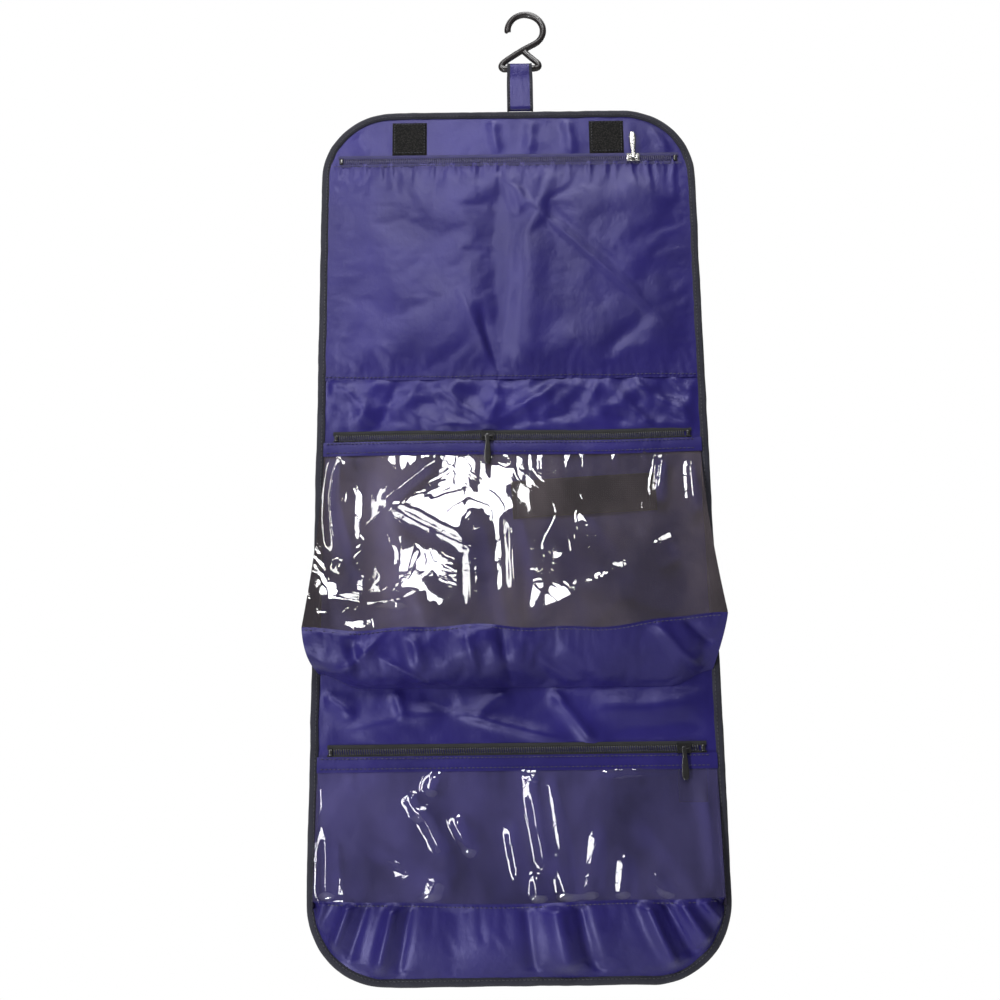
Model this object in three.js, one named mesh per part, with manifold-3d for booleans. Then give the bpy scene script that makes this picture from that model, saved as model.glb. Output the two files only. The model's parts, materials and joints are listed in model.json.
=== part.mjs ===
// Hanging toiletry bag, opened out and hung by its hook. Millimetres, +Z up, the front faces -Y.
// The origin is the seat of the hook: the inside of the crook, where it rests on a rail.
// A panel is sized by its distance below the bag's top edge ("down") and in front of its mid layer ("depth").

import * as THREE from 'three';
import { mergeVertices } from 'three/addons/utils/BufferGeometryUtils.js';
import Module from 'manifold-3d';

const wasm = await Module();
wasm.setup();

// Driving dimensions of the bag
const BAG_WIDTH = 270;
const BAG_HEIGHT = 600;
const CORNER = 52;
const BAG_TOP = -76; // height of the bag's top edge under the hook's seat
const BAG_X = -14; // the strap is sewn on a little to the right of the bag's middle
const BAG_Y = 1.5; // the bag hangs with its weight below the hook's bar

// The five sections, by where each ends
const UPPER_END = 204;
const UPPER_FOLD_END = 241;
const MIDDLE_END = 417;
const LOWER_FOLD_END = 451;
const CREASE = 0.4; // gap between two sections

// Layers, as depths in front of the mid plane
const GAP = 0.3;
const SHELL_BACK = -1.2;
const SHELL_FRONT = -0.2;
const LINING_BACK = 0.2;
const LINING_FRONT = 1.2;
const ON_LINING = LINING_FRONT + GAP;
const BINDING_LEG = 8;
const BINDING_THICK = 0.8;
const BINDING_FRONT = ON_LINING + BINDING_THICK;
const PANEL_INSET = BINDING_THICK + GAP;
const POCKET_HALF = BAG_WIDTH / 2 - BINDING_LEG - GAP;

// Hook-and-loop squares
const PATCH_WIDE = 25;
const PATCH_TALL = 26;
const PATCH_THICK = 1.6;
const PATCH_X = 71.5;
const HOOK_PATCH_TOP = 9;
const LOOP_PATCH_TOP = 421;

// Zips: a coil between two tapes, metal stops, and a slider with a pull
const COIL_HALF_LENGTH = 119;
const COIL_WIDE = 4;
const COIL_THICK = 1.8;
const TAPE_WIDE = 2.1;
const TAPE_THICK = 0.7;
const STOP_LONG = 3;
const SLIDER_LONG = 9;
const SLIDER_PLATE = 0.8;
const FLANGE_INNER = COIL_WIDE / 2 + GAP;
const SLIDER_TALL = 2 * (FLANGE_INNER + SLIDER_PLATE);
const BAIL_RADIUS = 0.5;
const EYE_INNER = 0.8;
const EYE_OUTER = 1.4;
const EYE_WIDE = 3.6;
const PULL_LONG = 20;
const PULL_WIDE = 6;
const PULL_THICK = 1.2;
const SLIDER_FRONT = ON_LINING + COIL_THICK + 0.1 + SLIDER_PLATE;
const BAIL_DEPTH = SLIDER_FRONT + GAP + EYE_OUTER;

const UPPER_ZIP = { down: 39.5, sliderX: 90, pullTurn: 185 };
const MIDDLE_ZIP = { down: 246, sliderX: -17, pullTurn: 0 };
const LOWER_ZIP = { down: 456, sliderX: 108, pullTurn: 0 };

// Pockets
const POCKET_CLOTH = 1;
const UPPER_POCKET = { top: 44, bottom: 203.4 };
const MIDDLE_POCKET = {
  facing: 250.5, top: 258.3, front: 378, bottom: 415, depth: 30, flare: 11, film: 0.6,
};
const LOWER_POCKET = {
  facing: 460.5, top: 468.3, front: 548, bottom: 591, depth: 15, flare: 0, film: 0.5,
};
const GUSSET_CLOTH = 0.8;
const ELASTIC = { wide: 98, tall: 26, thick: 1.2, x: 48, down: 288, tilt: 3 };
const TAPE_END = { wide: 19, tall: 16, thick: 0.6, x: 113, top: 474 };

// Hook and strap
const WIRE = 2.4;
const CROOK_RADIUS = 13.1;
const CROOK_Z = WIRE - CROOK_RADIUS;
const BAR_Z = -42;
const STRAP_X = -4.75;
const STRAP_WIDE = 19;
const STRAP_PLY = 0.8;
const STRAP_END_RADIUS = 1;

const PAINT = {
  nylon: [0x2b2a6b, 0.45, 0], lining: [0x2b2a6b, 0.5, 0], binding: [0x26262e, 0.8, 0],
  patch: [0x1b1a1c, 0.95, 0], zip: [0x1c1b20, 0.6, 0], metal: [0xb9bbbf, 0.3, 1],
  pull: [0x17161a, 0.4, 0], film: [0xd8d8e0, 0.1, 0], side: [0x2a2226, 0.6, 0],
  hook: [0x17151a, 0.25, 0], elastic: [0x17151a, 0.9, 0],
};

function mesh(name, geometry, paint) {
  const [color, roughness, metalness] = PAINT[paint];
  const piece = new THREE.Mesh(geometry, new THREE.MeshStandardMaterial({ color, roughness, metalness }));
  piece.name = name;
  return piece;
}

// ---- solids ----

function toSolid(geometry) {
  const bare = geometry.clone();
  bare.deleteAttribute('normal');
  bare.deleteAttribute('uv');
  const merged = mergeVertices(bare, 1e-4);
  return new wasm.Manifold(new wasm.Mesh({
    numProp: 3,
    vertProperties: new Float32Array(merged.attributes.position.array),
    triVerts: new Uint32Array(merged.index.array),
  }));
}

function toGeometry(solid) {
  const { vertProperties, triVerts } = solid.getMesh();
  const geometry = new THREE.BufferGeometry();
  geometry.setAttribute('position', new THREE.BufferAttribute(new Float32Array(vertProperties), 3));
  geometry.setIndex(new THREE.BufferAttribute(new Uint32Array(triVerts), 1));
  geometry.computeVertexNormals();
  return geometry;
}

const union = (...pieces) => toGeometry(pieces.map(toSolid).reduce((a, b) => a.add(b)));
const cut = (body, ...tools) => toGeometry(tools.map(toSolid).reduce((a, b) => a.subtract(b), toSolid(body)));
const common = (a, b) => toGeometry(toSolid(a).intersect(toSolid(b)));

function box(x0, x1, depth0, depth1, down0, down1) {
  const geometry = new THREE.BoxGeometry(x1 - x0, depth1 - depth0, down1 - down0);
  return geometry.translate((x0 + x1) / 2, -(depth0 + depth1) / 2, -(down0 + down1) / 2);
}

// A flat outline drawn as seen from the front, given its thickness from one depth to another
function plate(outline, depth0, depth1) {
  const options = { depth: depth1 - depth0, bevelEnabled: false, curveSegments: 8 };
  return new THREE.ExtrudeGeometry(outline, options).rotateX(Math.PI / 2).translate(0, -depth0, 0);
}

// A side view, given as [depth, down] corners, made wide along X
function beam(corners, x0, x1, hole) {
  const outline = new THREE.Shape(corners.map(([depth, down]) => new THREE.Vector2(-depth, -down)));
  if (hole) outline.holes.push(hole);
  const geometry = new THREE.ExtrudeGeometry(outline, { depth: x1 - x0, bevelEnabled: false, curveSegments: 10 });
  const sideways = new THREE.Matrix4().makeBasis(
    new THREE.Vector3(0, 1, 0), new THREE.Vector3(0, 0, 1), new THREE.Vector3(1, 0, 0));
  return geometry.applyMatrix4(sideways).translate(x0, 0, 0);
}

// Shears a solid outwards in proportion to its height over the lining, for a pocket that is wider in front
function flared(geometry, outward, fullDepth) {
  const position = geometry.attributes.position;
  for (let i = 0; i < position.count; i++) {
    const x = position.getX(i);
    const height = -position.getY(i) - ON_LINING;
    position.setX(i, x + Math.sign(x) * outward * height / (fullDepth - ON_LINING));
  }
  return geometry;
}

// The bag's own outline between two levels, drawn in by an inset, round where it reaches an end of the bag
function panelOutline(top, bottom, inset) {
  const half = BAG_WIDTH / 2 - inset;
  const radius = CORNER - inset;
  const outline = new THREE.Shape();
  if (top === 0) {
    outline.moveTo(half, -CORNER);
    outline.absarc(half - radius, -CORNER, radius, 0, Math.PI / 2, false);
    outline.absarc(radius - half, -CORNER, radius, Math.PI / 2, Math.PI, false);
  } else {
    outline.moveTo(half, -top);
    outline.lineTo(-half, -top);
  }
  if (bottom === BAG_HEIGHT) {
    outline.absarc(radius - half, CORNER - BAG_HEIGHT, radius, Math.PI, 1.5 * Math.PI, false);
    outline.absarc(half - radius, CORNER - BAG_HEIGHT, radius, 1.5 * Math.PI, 2 * Math.PI, false);
  } else {
    outline.lineTo(-half, -bottom);
    outline.lineTo(half, -bottom);
  }
  return outline;
}

// ---- pieces that every section has ----

const sectionTop = (top) => (top === 0 ? 0 : top + CREASE / 2);
const sectionBottom = (bottom) => (bottom === BAG_HEIGHT ? BAG_HEIGHT : bottom - CREASE / 2);

function layers(section, top, bottom) {
  const outline = panelOutline(sectionTop(top), sectionBottom(bottom), PANEL_INSET);
  return [
    mesh(`${section}_shell`, plate(outline, SHELL_BACK, SHELL_FRONT), 'nylon'),
    mesh(`${section}_lining`, plate(outline, LINING_BACK, LINING_FRONT), 'lining'),
  ];
}

// Tape folded over the edge of a straight section: a channel on each side
function sideBindings(section, top, bottom) {
  const half = BAG_WIDTH / 2;
  const [wall, leg, out, slot] = [half - BINDING_THICK, half - BINDING_LEG, BINDING_FRONT, ON_LINING];
  return [[1, 'right'], [-1, 'left']].map(([side, hand]) => {
    const corners = [
      [half, out], [leg, out], [leg, slot], [wall, slot], [wall, -slot], [leg, -slot], [leg, -out], [half, -out],
    ];
    const outline = new THREE.Shape(corners.map(([x, depth]) => new THREE.Vector2(side * x, -depth)));
    const tall = sectionBottom(bottom) - sectionTop(top);
    const channel = new THREE.ExtrudeGeometry(outline, { depth: tall, bevelEnabled: false });
    return mesh(`${section}_binding_${hand}`, channel.translate(0, 0, -sectionBottom(bottom)), 'binding');
  });
}

// The same tape carried round an end of the bag
function endBinding(section, top, bottom) {
  const [first, last] = [sectionTop(top), sectionBottom(bottom)];
  const beyond = [top === 0 ? 0 : first - 5, bottom === BAG_HEIGHT ? BAG_HEIGHT : last + 5];
  const body = plate(panelOutline(first, last, 0), -BINDING_FRONT, BINDING_FRONT);
  const inside = plate(panelOutline(...beyond, BINDING_LEG), -9, 9);
  const slot = plate(panelOutline(...beyond, BINDING_THICK), -ON_LINING, ON_LINING);
  return mesh(`${section}_binding`, cut(body, inside, slot), 'binding');
}

function patches(name, top, depth0) {
  return [[1, 'right'], [-1, 'left']].map(([side, hand]) => {
    const [x0, x1] = [side * PATCH_X - PATCH_WIDE / 2, side * PATCH_X + PATCH_WIDE / 2];
    return mesh(`${name}_${hand}`, box(x0, x1, depth0, depth0 + PATCH_THICK, top, top + PATCH_TALL), 'patch');
  });
}

// ---- zips ----

function zip(section, { down }) {
  const half = COIL_WIDE / 2;
  const tape = (from) => box(-COIL_HALF_LENGTH, COIL_HALF_LENGTH, ON_LINING, ON_LINING + TAPE_THICK,
    from, from + TAPE_WIDE);
  const shoulder = 0.6;
  const coilSide = [
    [ON_LINING, down - half], [ON_LINING + COIL_THICK - shoulder, down - half],
    [ON_LINING + COIL_THICK, down - half + shoulder], [ON_LINING + COIL_THICK, down + half - shoulder],
    [ON_LINING + COIL_THICK - shoulder, down + half], [ON_LINING, down + half],
  ];
  const stops = [[1, 'right'], [-1, 'left']].map(([side, hand]) => {
    const near = side * (COIL_HALF_LENGTH + GAP);
    const far = near + side * STOP_LONG;
    const block = box(Math.min(near, far), Math.max(near, far), ON_LINING, ON_LINING + COIL_THICK + 0.3,
      down - half, down + half);
    return mesh(`${section}_zip_stop_${hand}`, block, 'metal');
  });
  return [
    mesh(`${section}_zip_tape_top`, tape(down - half - 0.2 - TAPE_WIDE), 'zip'),
    mesh(`${section}_zip_tape_bottom`, tape(down + half + 0.2), 'zip'),
    mesh(`${section}_zip_coil`, beam(coilSide, -COIL_HALF_LENGTH, COIL_HALF_LENGTH), 'zip'),
    ...stops,
  ];
}

// A plate over the coil with two flanges beside it, and a bridge that holds the pull
function sliderGeometry() {
  const [half, long] = [SLIDER_TALL / 2, SLIDER_LONG / 2];
  const under = ON_LINING + TAPE_THICK + GAP;
  const flangeFront = SLIDER_FRONT - SLIDER_PLATE / 2;
  const post = 1.2;
  const bridge = new THREE.CylinderGeometry(BAIL_RADIUS, BAIL_RADIUS, 2 * (long - 1), 12).rotateZ(Math.PI / 2);
  return union(
    box(-long, long, SLIDER_FRONT - SLIDER_PLATE, SLIDER_FRONT, -half, half),
    box(-long, long, under, flangeFront, -half, -FLANGE_INNER),
    box(-long, long, under, flangeFront, FLANGE_INNER, half),
    box(-long + 0.6, -long + 0.6 + post, SLIDER_FRONT - 0.2, BAIL_DEPTH + 0.7, -0.9, 0.9),
    box(long - 0.6 - post, long - 0.6, SLIDER_FRONT - 0.2, BAIL_DEPTH + 0.7, -0.9, 0.9),
    bridge.translate(0, -BAIL_DEPTH, 0),
  );
}

// An eye round the bridge, with a tab hanging from it; the eye's centre is the origin
function pullGeometry() {
  const ring = new THREE.Shape().absarc(0, 0, EYE_OUTER, 0, 2 * Math.PI, false);
  ring.holes.push(new THREE.Path().absarc(0, 0, EYE_INNER, 0, 2 * Math.PI, true));
  const eye = new THREE.ExtrudeGeometry(ring, { depth: EYE_WIDE, bevelEnabled: false, curveSegments: 8 });
  eye.translate(0, 0, -EYE_WIDE / 2).rotateY(Math.PI / 2);
  const tip = PULL_WIDE / 2;
  const tab = new THREE.Shape();
  tab.moveTo(-EYE_WIDE / 2, -1.05);
  tab.lineTo(-tip, -5);
  tab.absarc(0, tip - PULL_LONG, tip, Math.PI, 2 * Math.PI, false);
  tab.lineTo(tip, -5);
  tab.lineTo(EYE_WIDE / 2, -1.05);
  return union(eye, plate(tab, -PULL_THICK / 2, PULL_THICK / 2));
}

// The slider's group carries the pull, so that both move along the coil together
function runner(section, { down, sliderX, pullTurn }) {
  const group = new THREE.Group();
  group.position.set(sliderX, 0, -down);
  const pull = mesh(`${section}_zip_pull`, pullGeometry(), 'pull');
  pull.position.y = -BAIL_DEPTH;
  pull.rotation.x = -THREE.MathUtils.degToRad(pullTurn);
  group.add(mesh(`${section}_zip_slider`, sliderGeometry(), 'metal'), pull);
  return group;
}

// ---- pockets ----

// The side view of a clear pocket: a film that leans out, and a cloth floor that runs back to the lining
function windowCorners({ top, front, depth, film }) {
  return [[ON_LINING + 0.1, top], [depth - film, front], [depth, front], [ON_LINING + 0.1 + film, top]];
}

function floorCorners({ front, bottom, depth }) {
  const cloth = GUSSET_CLOTH;
  return [[depth - cloth, front + GAP], [depth, front + GAP], [ON_LINING + cloth, bottom], [ON_LINING, bottom]];
}

function clearPocket(section, pocket) {
  const { facing, top, depth, flare, front, bottom } = pocket;
  const half = POCKET_HALF - GUSSET_CLOTH - 2 * GAP;
  const strip = box(-half, half, ON_LINING, ON_LINING + POCKET_CLOTH, facing, top - GAP);
  const film = flared(beam(windowCorners(pocket), -half, half), flare, depth);
  const floor = flared(beam(floorCorners(pocket), -half, half), flare, depth);
  const sideCorners = [[ON_LINING, top + 1], [depth, front], [depth, front + 1], [ON_LINING, bottom]];
  const sides = [[1, 'right'], [-1, 'left']].map(([side, hand]) => {
    const [inner, outer] = [side * (half + GAP), side * (half + GAP + GUSSET_CLOTH)];
    const wall = beam(sideCorners, Math.min(inner, outer), Math.max(inner, outer));
    return mesh(`${section}_side_gusset_${hand}`, flared(wall, flare, depth), 'side');
  });
  return [
    mesh(`${section}_zip_facing`, strip, 'nylon'),
    mesh(`${section}_window`, film, 'film'),
    mesh(`${section}_bottom_gusset`, floor, 'nylon'),
    ...sides,
  ];
}

// The lower pocket's floor and sides follow the bag's round corners
function trimToCorners(pieces) {
  const inside = plate(panelOutline(LOWER_FOLD_END, BAG_HEIGHT, BINDING_LEG + GAP), 0, 40);
  for (const piece of pieces) {
    if (piece.name.includes('gusset')) piece.geometry = common(piece.geometry, inside);
  }
  return pieces;
}

function upperPocket() {
  const { top, bottom } = UPPER_POCKET;
  const outline = new THREE.Shape(
    [[-1, top], [1, top], [1, bottom], [-1, bottom]].map(([side, down]) => {
      const inset = down < CORNER ? POCKET_HALF - 1 : POCKET_HALF;
      return new THREE.Vector2(side * inset, -down);
    }));
  return mesh('upper_pocket_front', plate(outline, ON_LINING, ON_LINING + POCKET_CLOTH), 'nylon');
}

function elasticStrap() {
  const { wide, tall, thick, x, down, tilt } = ELASTIC;
  const strap = mesh('elastic_strap', box(-wide / 2, wide / 2, 0, thick, -tall / 2, tall / 2), 'elastic');
  strap.position.set(x, -ON_LINING, -down);
  strap.rotation.y = -THREE.MathUtils.degToRad(tilt);
  return strap;
}

function zipTapeEnd() {
  const { wide, tall, thick, x, top } = TAPE_END;
  const end = box(x - wide / 2, x + wide / 2, ON_LINING, ON_LINING + thick, top, top + tall);
  return mesh('lower_zip_tape_end', end, 'zip');
}

// ---- hook and strap ----

function tube(points, radius, steps) {
  const path = new THREE.CatmullRomCurve3(points.map(([x, z]) => new THREE.Vector3(x, 0, z)), false, 'centripetal');
  const section = new THREE.Shape().absarc(0, 0, radius, 0, 2 * Math.PI, false);
  return new THREE.ExtrudeGeometry(section, { steps, extrudePath: path, bevelEnabled: false, curveSegments: 12 });
}

const ball = ([x, z], radius) => new THREE.SphereGeometry(radius, 12, 8).translate(x, 0, z);

// One rod: the crook, a shaft that slants down to the left, the bar, and an arm back up to the shaft
function hookGeometry() {
  const crook = [];
  for (let angle = 186; angle >= -54; angle -= 20) {
    const turn = THREE.MathUtils.degToRad(angle);
    crook.push([CROOK_RADIUS * Math.cos(turn), CROOK_Z + CROOK_RADIUS * Math.sin(turn)]);
  }
  const shaft = [[-2.2, -27], [-10, -32.2], [-15.2, -36]];
  const leftCorner = [[-17.4, -38.4], [-17.9, -40.6], [-16.4, BAR_Z]];
  const barEnd = [7, BAR_Z];
  const rod = tube([...crook, ...shaft, ...leftCorner, [-10, BAR_Z], [0, BAR_Z], barEnd], WIRE, 64);
  const arm = tube([barEnd, [9.2, -40.9], [9, -38], [4, -33.2], [-1.6, -27.6]], WIRE - 0.1, 14);
  return union(rod, arm, ball(crook[0], WIRE + 0.1), ball(barEnd, WIRE + 0.1));
}

// A strap looped round the bar and closed below it, with a round end where it bends over the bag's edge
function strapGeometry() {
  const inner = WIRE + GAP;
  const outer = inner + STRAP_PLY;
  const endZ = BAG_TOP + GAP + STRAP_END_RADIUS;
  const corners = [];
  for (let angle = -20; angle <= 200; angle += 20) {
    const turn = THREE.MathUtils.degToRad(angle);
    corners.push([-outer * Math.cos(turn), -(BAR_Z + outer * Math.sin(turn))]);
  }
  corners.push([STRAP_PLY, -(BAR_Z - 10)]);
  for (let angle = 180; angle <= 360; angle += 30) {
    const turn = THREE.MathUtils.degToRad(angle);
    corners.push([-STRAP_END_RADIUS * Math.cos(turn), -(endZ + STRAP_END_RADIUS * Math.sin(turn))]);
  }
  corners.push([-STRAP_PLY, -(BAR_Z - 10)]);
  const hole = new THREE.Path().absarc(0, BAR_Z, inner, 0, 2 * Math.PI, true);
  return beam(corners, STRAP_X - STRAP_WIDE / 2, STRAP_X + STRAP_WIDE / 2, hole);
}

// ---- the whole bag ----

const bag = new THREE.Group();
bag.position.set(BAG_X, BAG_Y, BAG_TOP);
bag.add(
  ...layers('upper', 0, UPPER_END),
  endBinding('upper', 0, UPPER_END),
  ...patches('hook_patch', HOOK_PATCH_TOP, ON_LINING),
  ...zip('upper', UPPER_ZIP),
  runner('upper', UPPER_ZIP),
  upperPocket(),

  ...layers('upper_fold', UPPER_END, UPPER_FOLD_END),
  ...sideBindings('upper_fold', UPPER_END, UPPER_FOLD_END),

  ...layers('middle', UPPER_FOLD_END, MIDDLE_END),
  ...sideBindings('middle', UPPER_FOLD_END, MIDDLE_END),
  ...zip('middle', MIDDLE_ZIP),
  runner('middle', MIDDLE_ZIP),
  ...clearPocket('middle', MIDDLE_POCKET),
  elasticStrap(),

  ...layers('lower_fold', MIDDLE_END, LOWER_FOLD_END),
  ...sideBindings('lower_fold', MIDDLE_END, LOWER_FOLD_END),
  ...patches('loop_patch', LOOP_PATCH_TOP, -ON_LINING - PATCH_THICK),

  ...layers('lower', LOWER_FOLD_END, BAG_HEIGHT),
  endBinding('lower', LOWER_FOLD_END, BAG_HEIGHT),
  ...zip('lower', LOWER_ZIP),
  runner('lower', LOWER_ZIP),
  ...trimToCorners(clearPocket('lower', LOWER_POCKET)),
  zipTapeEnd(),
);

const toiletryBag = new THREE.Group();
toiletryBag.add(
  mesh('hook', hookGeometry(), 'hook'),
  mesh('hanger_strap', strapGeometry(), 'nylon'),
  bag,
);

export default toiletryBag;
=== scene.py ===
"""Hanging toiletry bag: nylon panels, clear pocket windows, bound edges, zips, hook-and-loop squares and hook.

Places on the bag are (x, depth, down) in millimetres: right of the bag's middle, in front of its mid layer, and
below its top edge. The frame gives where the bag is.
"""

import json
import math

import bpy
import numpy as np
from mathutils import Matrix, Vector, noise


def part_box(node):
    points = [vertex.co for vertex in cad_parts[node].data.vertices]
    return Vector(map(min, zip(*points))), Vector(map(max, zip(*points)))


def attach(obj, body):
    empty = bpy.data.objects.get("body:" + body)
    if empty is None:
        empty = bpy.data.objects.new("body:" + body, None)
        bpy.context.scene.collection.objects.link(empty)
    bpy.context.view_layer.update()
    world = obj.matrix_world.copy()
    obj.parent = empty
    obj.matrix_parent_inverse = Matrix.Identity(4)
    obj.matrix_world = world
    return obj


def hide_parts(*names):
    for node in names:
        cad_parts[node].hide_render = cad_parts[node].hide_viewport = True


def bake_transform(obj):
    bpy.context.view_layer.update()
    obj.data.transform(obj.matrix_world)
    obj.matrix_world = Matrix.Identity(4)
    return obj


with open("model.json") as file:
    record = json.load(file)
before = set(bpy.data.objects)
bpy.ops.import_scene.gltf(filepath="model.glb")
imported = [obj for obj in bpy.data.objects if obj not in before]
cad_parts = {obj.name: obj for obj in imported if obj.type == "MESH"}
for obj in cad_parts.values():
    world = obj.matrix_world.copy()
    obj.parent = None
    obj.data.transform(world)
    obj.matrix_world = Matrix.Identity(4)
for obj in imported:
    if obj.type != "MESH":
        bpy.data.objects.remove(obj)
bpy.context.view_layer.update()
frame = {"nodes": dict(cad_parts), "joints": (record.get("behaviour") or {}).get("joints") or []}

MM = 0.001

# ---- the bag's sizes, from the frame ----

binding_lo, binding_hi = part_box("upper_binding")
BAG_X = (binding_lo.x + binding_hi.x) / 2
BAG_Y = (binding_lo.y + binding_hi.y) / 2
BAG_TOP = binding_hi.z
HALF_WIDTH = (binding_hi.x - binding_lo.x) / 2 / MM


def down_of(z):
    return (BAG_TOP - z) / MM


def ends(node):
    """How far below the bag's top edge a node starts and ends."""
    lo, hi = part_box(node)
    return down_of(hi.z), down_of(lo.z)


def level(joint):
    """How far below the bag's top edge a fold's hinge line is."""
    return next(down_of(j["pos_m"][2]) for j in frame["joints"] if j["name"] == joint)


HEIGHT = ends("lower_binding")[1]
FOLDS = [level(j) for j in ("upper_fold", "upper_fold_far", "lower_fold", "lower_fold_far")]
CORNER = 52.0  # the bag's corner radius
BINDING = 5.6  # how wide the edge tape shows
LINING = 1.2  # depth of the lining's face, in front of the mid layer
CLOTH = 2.2  # depth at which a window's film leaves its facing
STITCH = 2.8  # pitch of the stitching on cloth
EDGE = HALF_WIDTH - BINDING

UPPER_POCKET = ends("upper_pocket_front")
MIDDLE_FILM = ends("middle_window")
MIDDLE_FLOOR = ends("middle_bottom_gusset")
LOWER_FILM = ends("lower_window")
MIDDLE_DEPTH = (BAG_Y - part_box("middle_window")[0].y) / MM
LOWER_DEPTH = (BAG_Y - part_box("lower_window")[0].y) / MM
MIDDLE_FLARE = (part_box("middle_window")[1].x - BAG_X) / MM
UPPER_ZIP, MIDDLE_ZIP, LOWER_ZIP = (sum(ends(f"{s}_zip_coil")) / 2 for s in ("upper", "middle", "lower"))
COIL_HALF = (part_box("upper_zip_coil")[1].x - BAG_X) / MM


def place(x, depth, down):
    """Bag millimetres to the row frame in metres, for numbers or arrays."""
    return BAG_X + x * MM, BAG_Y - depth * MM, BAG_TOP - down * MM


def point(x, depth, down):
    return Vector(place(x, depth, down))


# ---- shapes of cloth, as functions of x and down ----


def smooth(low, high, value):
    t = np.clip((value - low) / (high - low), 0.0, 1.0)
    return t * t * (3 - 2 * t)


def half_width(down, inset):
    """Half the bag's width at a level, drawn in by an inset, with its round corners."""
    down = np.asarray(down, float)
    end = np.minimum(down, HEIGHT - down)
    reach = np.clip(CORNER - end, 0.0, CORNER - inset)
    return HALF_WIDTH - CORNER + np.sqrt(np.maximum((CORNER - inset) ** 2 - reach**2, 0.0))


def edge_distance(x, down):
    """How far inside the bag's outline a place is."""
    x, down = np.abs(x), np.minimum(down, HEIGHT - down)
    corner = CORNER - np.hypot(np.maximum(x - HALF_WIDTH + CORNER, 0), np.maximum(CORNER - down, 0))
    return np.where((x > HALF_WIDTH - CORNER) & (down < CORNER), corner, np.minimum(HALF_WIDTH - x, down))


def crumple(x, down, across, along, seed):
    """Hollows with sharp creases between them, from 0 at a hollow's bottom to about 1 at a crease."""
    at = zip(np.ravel(x) / across, np.ravel(down) / along)
    return np.array([noise.voronoi((a + 0.35 * noise.noise((a, b, seed)), b, seed))[0][0] for a, b in at])


def cloud(x, down, across, along, seed):
    """Smooth noise from -1 to 1, with its own size each way."""
    return np.array([noise.noise((a / across, b / along, seed)) for a, b in zip(np.ravel(x), np.ravel(down))])


def fold(x, down, start, end, width, height, sharp=2.0):
    """The height of one fold along a line, fading out at its ends; sharp below 2 gives it a crest."""
    (x0, y0), (x1, y1) = start, end
    length = math.hypot(x1 - x0, y1 - y0)
    ux, uy = (x1 - x0) / length, (y1 - y0) / length
    along = ((x - x0) * ux + (down - y0) * uy) / length
    across = -(x - x0) * uy + (down - y0) * ux
    fade = smooth(-0.08, 0.25, along) * smooth(1.08, 0.75, along)
    return height * fade * np.exp(-np.abs(across / width) ** sharp)


def folds(x, down, lines):
    return sum(fold(x, down, *line) for line in lines)


def pucker(x, distance, pitch, reach, height, seed):
    """Small uneven gathers along a seam, that fade with the distance from it."""
    wave = 1.7 * cloud(x, distance, pitch * 0.42, 4 * reach, seed)
    strength = 0.5 + 0.9 * np.abs(cloud(x, distance * 0, 16, 16, seed + 5))
    return height * wave * strength * np.exp(-np.abs(distance) / reach)


# ---- meshes ----


def surface(name, rows, columns, shape, material):
    """A grid of quads that faces the front. shape takes u from -1 to 1 and v from 0 to 1 and gives places."""
    v, u = np.meshgrid(np.linspace(0, 1, rows), np.linspace(-1, 1, columns), indexing="ij")
    x, depth, down = shape(u.ravel(), v.ravel())
    return quads(name, np.stack(place(x, depth, down), 1), rows, columns, material)


def loft(rings, around, closed=False, base=0, turned=False):
    """Faces between one ring or row of points and the next; turned makes them face the other way."""
    faces = []
    for ring in range(rings - 1):
        for i in range(around if closed else around - 1):
            a, b = base + ring * around + i, base + ring * around + (i + 1) % around
            faces.append((a, b, b + around, a + around) if turned else (a, a + around, b + around, b))
    return faces


def quads(name, points, rows, columns, material):
    return solid(name, points, loft(rows, columns), material)


def solid(name, points, faces, material):
    data = bpy.data.meshes.new(name)
    data.from_pydata([tuple(p) for p in points], [], faces)
    data.update()
    data.polygons.foreach_set("use_smooth", [True] * len(data.polygons))
    piece = bpy.data.objects.new(name, data)
    bpy.context.scene.collection.objects.link(piece)
    data.materials.append(material)
    return piece


def coordinates(piece):
    values = np.zeros(len(piece.data.vertices) * 3)
    piece.data.vertices.foreach_get("co", values)
    return values.reshape(-1, 3)


def set_coordinates(piece, points):
    piece.data.vertices.foreach_set("co", np.asarray(points, float).ravel())
    piece.data.update()


def dress(piece, slot, body, *nodes):
    """The piece's slot (not used), its body, and the CAD nodes it is there in place of."""
    if nodes:
        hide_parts(*nodes)
    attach(piece, body)


def loose(rows, columns, side, top, bottom):
    """How loose each vertex of a sheet is: 0 at its seams, 1 past these shares of it."""
    u = np.tile(np.linspace(-1, 1, columns), rows)
    v = np.repeat(np.linspace(0, 1, rows), columns)
    return smooth(1.0, side, np.abs(u)) * smooth(0.0, top, v) * smooth(1.0, bottom, v)


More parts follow.
